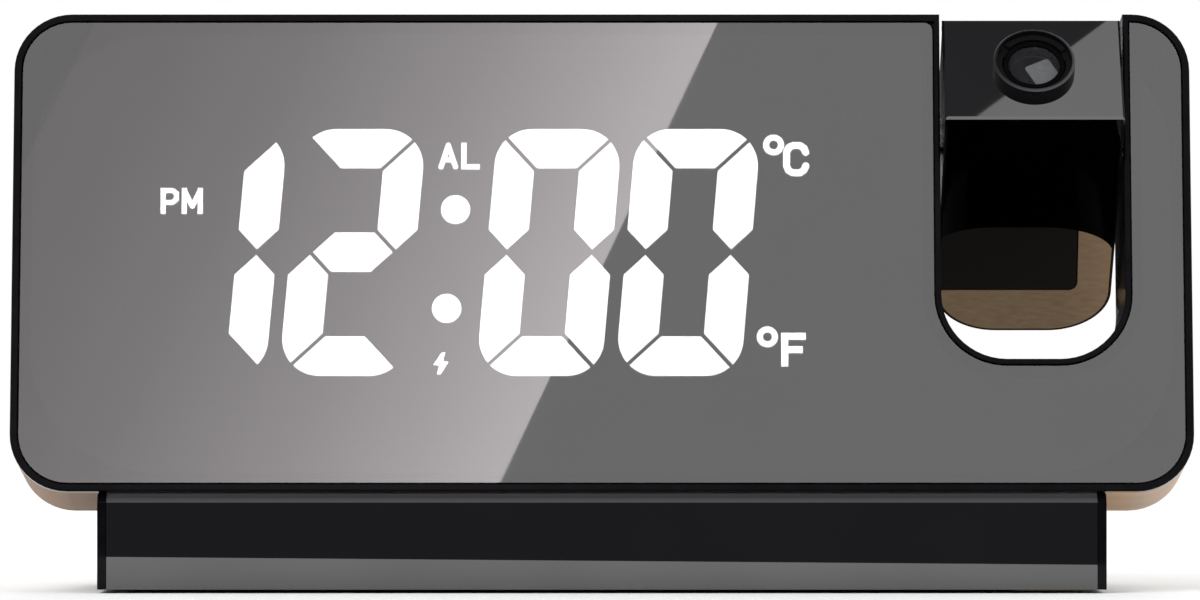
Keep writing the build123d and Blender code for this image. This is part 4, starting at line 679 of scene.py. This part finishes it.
def set_of(piece, count):
    """The piece and copies of it with their own meshes, this many in all."""
    pieces = [piece]
    while len(pieces) < count:
        copy = piece.copy()
        copy.data = piece.data.copy()
        bpy.context.collection.objects.link(copy)
        pieces.append(copy)
    return pieces


def joined(pieces):
    """Joins all the pieces to the first one."""
    work_on(*pieces)
    if len(pieces) > 1:
        bpy.ops.object.join()
    return bpy.context.object


def edit_faces_towards(piece, up):
    """Opens the piece for editing with just its faces that look up (1) or down (-1) selected."""
    bpy.ops.object.mode_set(mode="EDIT")
    bpy.ops.mesh.select_mode(type="FACE")
    bpy.ops.mesh.select_all(action="DESELECT")
    bpy.ops.object.mode_set(mode="OBJECT")
    for polygon in piece.data.polygons:
        polygon.select = polygon.normal.z * up > 0.9
    bpy.ops.object.mode_set(mode="EDIT")


def stand_up(piece, name, frame_matrix, finish, body):
    """Puts the piece's place into its mesh, names it, finishes it and rides it."""
    piece.name = name
    piece.data.name = name
    piece.data.transform(frame_matrix @ piece.matrix_basis)
    piece.matrix_basis = Matrix()
    piece.data.materials.clear()
    piece.data.materials.append(finish)
    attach(piece, body)
    print(name, "rides on", body, "with", len(piece.data.polygons), "faces")
    return piece


# %% [markdown]
# ## The domed lens
#
# A projection lens bulges forward. It could be turned from a profile, but a slice off a
# ball is exactly the right shape: a ball of 14 mm radius is cut where the slice is
# 8.6 mm wide, and the cut face is pulled back to give the glass its edge. It stands in
# for the plain disc of the solids.

# %% Lens glass
LENS_CURVE = 14.0
LENS_EDGE_RADIUS = 4.3
LENS_EDGE_FRONT = 2.0  # above the projector's end face
LENS_BACK = -0.2
BALL_AROUND, BALL_UP = 64, 96  # faces of the ball, around it and from pole to pole
cut = math.sqrt(LENS_CURVE**2 - LENS_EDGE_RADIUS**2)
bpy.ops.object.select_all(action="DESELECT")
bpy.ops.mesh.primitive_uv_sphere_add(
    segments=BALL_AROUND,
    ring_count=BALL_UP,
    radius=LENS_CURVE * MM,
    location=(0, 0, (LENS_EDGE_FRONT - cut) * MM),
)
lens = bpy.context.object
bpy.ops.object.mode_set(mode="EDIT")
bpy.ops.mesh.select_all(action="SELECT")
bpy.ops.mesh.bisect(
    plane_co=(0, 0, LENS_EDGE_FRONT * MM), plane_no=(0, 0, 1), use_fill=True, clear_inner=True
)
edit_faces_towards(lens, -1)
bpy.ops.mesh.extrude_region_move(
    TRANSFORM_OT_translate={"value": (0, 0, (LENS_BACK - LENS_EDGE_FRONT) * MM)}
)
bpy.ops.object.mode_set(mode="OBJECT")
work_on(lens)
bpy.ops.object.shade_smooth_by_angle(angle=math.radians(30))
stand_up(lens, "domed_lens", head, lens_glass, "lens_cell")
lens.visible_glossy = False
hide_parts("focus_lens")

# %% [markdown]
# ## A painted reflection in the lens
#
# The figures to be projected are on a small square slide deep in the tube. A thin pale
# square with rounded corners lies just behind the front glass, turned a little and off to
# one side: a painted reflection of a bright window in the lens.

# %% Painted reflection in the lens
CATCHLIGHT_SIZE = 4.3
CATCHLIGHT_THICKNESS = 0.1
CATCHLIGHT_CORNER = 0.55
CATCHLIGHT_TURN = math.radians(26.9)
CATCHLIGHT_PLACE = Vector((1.4, -0.2, 0.95))  # from the middle of the end face
# Painted reflection: a pale square where the lens shows a bright window.
bpy.ops.object.select_all(action="DESELECT")
bpy.ops.mesh.primitive_plane_add(
    size=CATCHLIGHT_SIZE * MM, location=CATCHLIGHT_PLACE * MM, rotation=(0, 0, CATCHLIGHT_TURN)
)
slide = bpy.context.object
bpy.ops.object.mode_set(mode="EDIT")
bpy.ops.mesh.select_all(action="SELECT")
bpy.ops.mesh.bevel(offset=CATCHLIGHT_CORNER * MM, segments=6, affect="VERTICES")
bpy.ops.mesh.select_all(action="SELECT")
bpy.ops.mesh.extrude_region_move(TRANSFORM_OT_translate={"value": (0, 0, -CATCHLIGHT_THICKNESS * MM)})
bpy.ops.mesh.select_all(action="SELECT")
bpy.ops.mesh.normals_make_consistent(inside=False)
bpy.ops.object.mode_set(mode="OBJECT")
stand_up(slide, "painted_catchlight", head, plastics["slide_glass_and_catchlight"], "lens_cell")
slide.visible_glossy = False

# %% [markdown]
# ## Printed signs on the buttons
#
# Each of the five buttons on the back carries a plain sign in white ink: three bars for
# the mode, two triangles for up and down, a bell for the alarm and a little projector
# with its rays. Ink lies on the cap as a thin layer, so every sign is drawn flat from
# bars and discs, given a thickness, and rides on its own button.


# %% Flat bars and discs of ink
INK = 0.05  # thickness of the print, drawn thicker than real ink so that it shows
FIRST_BUTTON_X, BUTTON_SPACING = -49, 17
BUTTON_Y = 58.2
CAP_PROUD = 1.0


def ink_bar(place_mm, size_mm, turn=0):
    """Flat bar, width by height, turned by degrees."""
    bpy.ops.object.select_all(action="DESELECT")
    bpy.ops.mesh.primitive_plane_add(
        size=MM, location=Vector((*place_mm, 0)) * MM, rotation=(0, 0, math.radians(turn))
    )
    bpy.ops.object.mode_set(mode="EDIT")
    bpy.ops.mesh.select_all(action="SELECT")
    bpy.ops.transform.resize(value=(*size_mm, 1), orient_type="LOCAL")
    bpy.ops.object.mode_set(mode="OBJECT")
    return bpy.context.object


def ink_disc(place_mm, radius_mm, sides=24, turn=0):
    """Flat disc, or a polygon where the sides are few."""
    bpy.ops.object.select_all(action="DESELECT")
    bpy.ops.mesh.primitive_circle_add(
        vertices=sides,
        radius=radius_mm * MM,
        fill_type="NGON",
        location=Vector((*place_mm, 0)) * MM,
        rotation=(0, 0, math.radians(turn)),
    )
    return bpy.context.object


def ink_bell():
    """Bell without its clapper: half a disc whose straight edge is drawn out twice."""
    bell = ink_disc((0, 0.45), 0.95, sides=32)
    bpy.ops.object.mode_set(mode="EDIT")
    bpy.ops.mesh.select_all(action="SELECT")
    bpy.ops.mesh.bisect(plane_co=(0, 0.3 * MM, 0), plane_no=(0, 1, 0), clear_inner=True)
    bpy.ops.mesh.select_mode(type="EDGE")
    for drop, widen in ((0.75, 1.15), (0.35, 1.25)):
        bpy.ops.mesh.extrude_edges_move(TRANSFORM_OT_translate={"value": (0, -drop * MM, 0)})
        bpy.ops.transform.resize(value=(widen, 1, 1))
    bpy.ops.object.mode_set(mode="OBJECT")
    return bell


def print_sign(shapes, button, place_in_row):
    """Joins a sign's shapes, thickens them and prints them on this button's cap."""
    x_mm = FIRST_BUTTON_X + place_in_row * BUTTON_SPACING
    sign = joined(shapes)
    bpy.ops.object.transform_apply(location=True, rotation=True, scale=True)
    bpy.ops.object.modifier_add(type="SOLIDIFY")
    sign.modifiers["Solidify"].thickness = INK * MM
    sign.modifiers["Solidify"].offset = 0
    bpy.ops.object.modifier_apply(modifier="Solidify")
    bpy.ops.object.mode_set(mode="EDIT")
    bpy.ops.mesh.select_all(action="SELECT")
    bpy.ops.mesh.normals_make_consistent(inside=False)
    bpy.ops.object.mode_set(mode="OBJECT")
    cap = back @ Matrix.Translation(Vector((-x_mm, BUTTON_Y, CAP_PROUD)) * MM)
    stand_up(sign, button.replace("button", "sign"), cap, plastics["white_print_ink"], button)


# %% The five signs
print_sign([ink_bar((0, y), (2.6, 0.45)) for y in (-0.85, 0, 0.85)], "button_mode", 0)
print_sign([ink_disc((0, -0.2), 1.45, sides=3)], "button_up", 1)
print_sign([ink_disc((0, 0.2), 1.45, sides=3, turn=180)], "button_down", 2)
print_sign([ink_bell(), ink_disc((0, -1.35), 0.36)], "button_alarm", 3)
rays = [ink_bar((0.9, y), (1.1, 0.3), turn) for y, turn in ((0.8, 28), (0, 0), (-0.8, -28))]
print_sign([ink_bar((-0.95, 0), (1.5, 1.7)), *rays], "button_projector", 4)

# %% [markdown]
# ## Contacts in the power inlet
#
# Twelve gold contacts lie on each side of the inlet's tongue, half a millimetre apart.
# One is modelled as a thin strip with rounded edges, and the others are copies of it.

# %% Contacts
INLET_X, INLET_Y = 27.0, 15.6
CONTACT = (0.25, 0.08, 3.0)  # width, thickness and length
CONTACT_SPACING = 0.5
CONTACT_DEPTH = -2.6  # of a contact's middle, below the back
TONGUE_HALF = 0.35
PER_SIDE = 12
contact = box(CONTACT, 0)
round_edges(contact, 0.02, segments=2)
contacts = set_of(contact, 2 * PER_SIDE)
for number, strip in enumerate(contacts):
    row, i = divmod(number, PER_SIDE)
    along = (i - (PER_SIDE - 1) / 2) * CONTACT_SPACING
    strip.location = Vector((along, (2 * row - 1) * TONGUE_HALF, CONTACT_DEPTH)) * MM
inlet = back @ Matrix.Translation(Vector((-INLET_X, INLET_Y, 0)) * MM)
contacts = stand_up(joined(contacts), "inlet_contacts", inlet, metals["gold_contact"], "clock")

# %% [markdown]
# ## The speaker's cone
#
# Behind the grille sits a paper cone with a rolled edge and a dust cap. A low cylinder is
# enough to start from: its front face is inset again and again, each time raised or sunk
# a little, which is how a turned profile can be drawn without a curve.

# %% Cone
SPEAKER_X, SPEAKER_Y = -81.5, 38.7
CONE_RADIUS = 6.6
CONE_THICKNESS = 0.35
CONE_DEPTH = -2.7  # of the cylinder's middle, below the back
# Steps of the profile: how far in and how far up.
CONE_EDGE = [(0.3, 0), (0.3, 0.2), (0.35, 0.08), (0.35, -0.08), (0.3, -0.2)]
CONE_SLOPE = [(2.2, -0.12), (0.15, 0)]
DUST_CAP = [(0.3, 0.16), (0.5, 0.1), (0.6, 0.05)]
bpy.ops.object.select_all(action="DESELECT")
bpy.ops.mesh.primitive_cylinder_add(
    vertices=64,
    radius=CONE_RADIUS * MM,
    depth=CONE_THICKNESS * MM,
    end_fill_type="NGON",
    location=(0, 0, CONE_DEPTH * MM),
)
cone = bpy.context.object
edit_faces_towards(cone, 1)
for inward, upward in CONE_EDGE + CONE_SLOPE + DUST_CAP:
    bpy.ops.mesh.inset(thickness=inward * MM, depth=upward * MM)
bpy.ops.object.mode_set(mode="OBJECT")
work_on(cone)
bpy.ops.object.shade_smooth_by_angle(angle=math.radians(40))
grille = back @ Matrix.Translation(Vector((-SPEAKER_X, SPEAKER_Y, 0)) * MM)
stand_up(cone, "speaker_cone", grille, plastics["pressed_paper_cone"], "clock")

# %% [markdown]
# ## The pad under the base
#
# A rubber pad grips better when its underside is ribbed, because each rib wipes the table
# dry. The pad is a rounded slab, 0.3 mm thinner than the gap it fills, and nine ribs
# under it make up the rest. It stands in for the plain slab of the solids.

# %% Ribbed pad
PAD_LENGTH, PAD_WIDTH, PAD_TOP = 132.0, 22.0, 1.4
PAD_CORNER = 2.0
RIB_DROP = 0.3  # below the slab
RIB_ROOT = 0.1  # sunk into the slab
RIB_WIDTH, RIB_SPACING, RIBS = 1.2, 2.3, 9
RIB_INSET = 2.0  # from the pad's ends
pad = box((PAD_LENGTH, PAD_WIDTH, PAD_TOP - RIB_DROP), (PAD_TOP + RIB_DROP) / 2)
bpy.ops.object.mode_set(mode="EDIT")
bpy.ops.mesh.select_mode(type="EDGE")
bpy.ops.mesh.select_all(action="DESELECT")
bpy.ops.object.mode_set(mode="OBJECT")
for edge in pad.data.edges:
    ends = [pad.data.vertices[i].co for i in edge.vertices]
    edge.select = abs(ends[0].z - ends[1].z) > 0.5 * (PAD_TOP - RIB_DROP) * MM
bpy.ops.object.mode_set(mode="EDIT")
bpy.ops.mesh.bevel(offset=PAD_CORNER * MM, segments=8, affect="EDGES")
bpy.ops.object.mode_set(mode="OBJECT")
rib_height = RIB_DROP + RIB_ROOT
rib = box((PAD_LENGTH - 2 * RIB_INSET, RIB_WIDTH, rib_height), rib_height / 2)
round_edges(rib, 0.15, segments=3)
ribs = set_of(rib, RIBS)
for i, rib in enumerate(ribs):
    rib.location.y = (i - (RIBS - 1) / 2) * RIB_SPACING * MM
pad = stand_up(joined([pad, *ribs]), "ribbed_pad", Matrix(), pad_rubber, "clock")
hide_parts("anti_slip_pad")

# %% [markdown]
# ## Table, world and lamps
#
# The table is pale and wide, and the world is an even white studio. What the camera and
# the reflections see of it is pure white, and what lights the clock is a little less, so
# that the lamps can give the shapes some direction. The table keeps the clock's shadow,
# and further out it goes over into the same white, so that no horizon shows.

# %% World
def seen_directly(tree):
    """1 for the rays that show a thing: those of the camera, of reflections and of glass."""
    path = add_node(tree, "LightPath")
    mirrored = add_node(
        tree,
        "Math",
        {0: path.outputs["Is Camera Ray"], 1: path.outputs["Is Glossy Ray"]},
        operation="MAXIMUM",
    )
    seen = add_node(
        tree,
        "Math",
        {0: mirrored.outputs[0], 1: path.outputs["Is Transmission Ray"]},
        operation="MAXIMUM",
    )
    return seen.outputs[0]


world = bpy.context.scene.world or bpy.data.worlds.new("studio")
bpy.context.scene.world = world
world.use_nodes = True
tree = world.node_tree
sky = tree.nodes["Background"]
sky.inputs["Color"].default_value = (1, 1, 1, 1)
level = add_node(tree, "MapRange", {"Value": seen_directly(tree), "To Min": 0.8, "To Max": 1.0})
tree.links.new(level.outputs[0], sky.inputs["Strength"])

# %% Table
TABLE_SIZE = 6000
SHADOW_ENDS, WHITE_FROM = 250, 700  # distances from the clock
bpy.ops.object.select_all(action="DESELECT")
bpy.ops.mesh.primitive_plane_add(size=TABLE_SIZE * MM, location=(0, 0, 0))
table = bpy.context.object
table.name = "pale_table"
table_laminate = worked_finish(
    "pale_table_laminate", ("#fafafa", "#fcfcfc"), (0.85, 0.95), size_mm=30.0, Specular_IOR_Level=0.0
)
tree = table_laminate.node_tree
place = add_node(tree, "TexCoord")
away = add_node(tree, "VectorMath", {0: place.outputs["Object"]}, operation="LENGTH")
far = add_node(
    tree,
    "MapRange",
    {"Value": away.outputs["Value"], "From Min": SHADOW_ENDS * MM, "From Max": WHITE_FROM * MM},
)
white_share = add_node(tree, "Math", {0: far.outputs[0], 1: seen_directly(tree)}, operation="MULTIPLY")
studio_white = add_node(tree, "Emission", {"Color": (1, 1, 1, 1), "Strength": 1.0})
blended = add_node(
    tree,
    "MixShader",
    {0: white_share.outputs[0], 1: tree.nodes["Principled BSDF"].outputs[0], 2: studio_white.outputs[0]},
)
tree.links.new(blended.outputs[0], tree.nodes["Material Output"].inputs["Surface"])
table.data.materials.append(table_laminate)

# %% [markdown]
# What makes a mirror look like a mirror is what it faces, so a few cards stand where the
# clock's bright faces look. Only reflections see them, so they light nothing and cast no
# shadow. Each is placed by a corner, the direction of its width and the direction it
# faces, and may fade along its width.


# %% Cards that only reflections see
def card(name, corner_mm, x_axis, z_axis, size_mm, fade, colour="#ffffff"):
    """Glowing card; fade lists (distance along its width in mm, brightness) pairs."""
    width, length = size_mm
    bpy.ops.object.select_all(action="DESELECT")
    bpy.ops.mesh.primitive_plane_add(size=1, location=(0, 0, 0))
    made = bpy.context.object
    made.name = name
    made.data.transform(Matrix.Translation((0.5, 0.5, 0)))
    made.data.transform(Matrix.Diagonal((width * MM, length * MM, 1, 1)))
    made.matrix_world = frame_at(corner_mm, x_axis, z_axis)
    for ray in ("camera", "diffuse", "transmission", "shadow", "volume_scatter"):
        setattr(made, "visible_" + ray, False)
    paper = bpy.data.materials.new(name + "_paper")
    paper.use_nodes = True
    tree = paper.node_tree
    tree.nodes.clear()
    place = add_node(tree, "TexCoord")
    along = add_node(tree, "SeparateXYZ", {0: place.outputs["Object"]})
    share = add_node(tree, "MapRange", {"Value": along.outputs["X"], "From Max": width * MM})
    strongest = max(bright for _, bright in fade)
    ramp = add_node(tree, "ValToRGB", {0: share.outputs[0]})
    stops = ramp.color_ramp.elements
    while len(stops) < len(fade):
        stops.new(0.5)
    for stop, (distance, bright) in zip(stops, fade):
        stop.position = distance / width
        stop.color = (bright / strongest,) * 3 + (1,)
    tinted = add_node(
        tree,
        "Mix",
        {"Factor": 1.0, 6: ramp.outputs[0], 7: linear(colour)},
        data_type="RGBA",
        blend_type="MULTIPLY",
    )
    glow = add_node(tree, "Emission", {"Color": tinted.outputs[2], "Strength": strongest})
    add_node(tree, "OutputMaterial", {"Surface": glow.outputs[0]})
    made.data.materials.append(paper)
    return made


# %% [markdown]
# The face looks up at a bright, leaning card far behind the camera. Its right edge makes
# the diagonal line across the figures, and it fades to the left.

# %% Card for the face
SOFTBOX = (300, 900)
SOFTBOX_BELOW = 250  # how far its edge goes on below the line's lower end
FADE = [(0, 3.2), (53, 2.55), (106, 2.0), (160, 1.62), (193, 1.4), (254, 1.2), (300, 1.12)]
low_end = Vector((-51.9, -2600.0, 856.4))
high_end = Vector((61.9, -2600.0, 1112.0))
up_the_edge = (high_end - low_end).normalized()
to_the_left = Vector((-up_the_edge.z, 0, up_the_edge.x))
softbox_corner = low_end - up_the_edge * SOFTBOX_BELOW
card("face_softbox", softbox_corner, to_the_left, (0, 1, 0), SOFTBOX, FADE, "#fff9fb")

# %% [markdown]
# The projector's end face looks almost straight up. A dark card hangs over it, cut off
# along a slanting line. The base's front plate looks down at the table ahead, and a narrow
# dark strip hangs close in front of it, with its lower edge on a slight slant. The slot's
# right wall mirrors what lies behind the clock at a grazing angle, so a dark card stands
# there too.

# %% Dark cards for the end face, the base and the slot's wall
def evenly(size_mm, brightness):
    """Fade of a card that is as bright at one side as at the other."""
    return [(0, brightness), (size_mm[0], brightness)]


HEAD_FLAG = (90, 180)
HEAD_FLAG_BEFORE = 75  # how far its slanting edge reaches before the line's start
line_start = Vector((85.5, -119.3, 600.0))
line = (Vector((115.0, -97.0, 600.0)) - line_start).normalized()
corner = line_start - line * HEAD_FLAG_BEFORE
across = (-line.y, line.x, 0)
card("head_flag", corner, across, (0, 0, -1), HEAD_FLAG, evenly(HEAD_FLAG, 0.132), "#f7f7ff")

BASE_STRIP = (178, 11.4)
BASE_STRIP_BEFORE = 8
line_start = Vector((-81.2, -30.0, 5.5))
line = (Vector((80.5, -30.0, 4.21)) - line_start).normalized()
corner = line_start - line * BASE_STRIP_BEFORE
card("base_strip", corner, line, (0, -1, 0), BASE_STRIP, evenly(BASE_STRIP, 0.105), "#f3f3ff")

SLOT_FLAG = (105, 130)
card("slot_flag", (55, 300, 10), (1, 0, 0), (0, -1, 0), SLOT_FLAG, evenly(SLOT_FLAG, 0.02))

# %% [markdown]
# The wooden part of the table lies below and behind the arm, whose bright front looks
# almost straight down on it.

# %% Wooden patch of the table
PATCH = (48, 58)
PATCH_CORNER = (40, -10, 0.3)
PATCH_FADE = [(0, 1.0), (38, 1.0), (48, 1.4)]
OAK_DRAWN_OUT, OAK_SIZE, OAK_DETAIL = 4, 0.6, 6.0
desk = card("wooden_patch", PATCH_CORNER, (1, 0, 0), (0, 0, 1), PATCH, PATCH_FADE)
tree = desk.data.materials[0].node_tree
place = add_node(tree, "TexCoord")
drawn = add_node(
    tree, "Mapping", {"Vector": place.outputs["Object"], "Scale": (1 / OAK_DRAWN_OUT, 1, 1)}
)
rings = add_node(
    tree, "TexNoise", {"Vector": drawn.outputs[0], "Scale": 1 / (OAK_SIZE * MM), "Detail": OAK_DETAIL}
)
tones = add_node(tree, "MapRange", {"Value": rings.outputs[0], **NOISE_SPREAD})
oak = add_node(
    tree,
    "Mix",
    {"Factor": tones.outputs[0], 6: linear("#e6bc94"), 7: linear("#f4d4ae")},
    data_type="RGBA",
)
tree.links.new(oak.outputs[2], tree.nodes["Mix"].inputs[7])

# %% [markdown]
# Three soft lamps give the shapes some direction: a large one above left, a weaker one at
# the right and one from behind. They stay out of the reflections, because the cards
# already set those.


# %% Lamps
CLOCK_MIDDLE = Vector((0, 0, 40))


def soft_lamp(name, place_mm, size_mm, watts):
    """Large square lamp that looks at the clock's middle and stays out of reflections."""
    place = Vector(place_mm)
    look = (CLOCK_MIDDLE - place).to_track_quat("-Z", "Y").to_euler()
    bpy.ops.object.light_add(type="AREA", location=place * MM, rotation=look)
    lamp = bpy.context.object
    lamp.name = name
    lamp.data.size = size_mm * MM
    lamp.data.energy = watts
    lamp.visible_glossy = False


soft_lamp("key_lamp", (-700, -900, 1100), 900, 9.0)
soft_lamp("fill_lamp", (900, -600, 500), 700, 3.0)
soft_lamp("back_lamp", (200, 1100, 900), 900, 5.0)
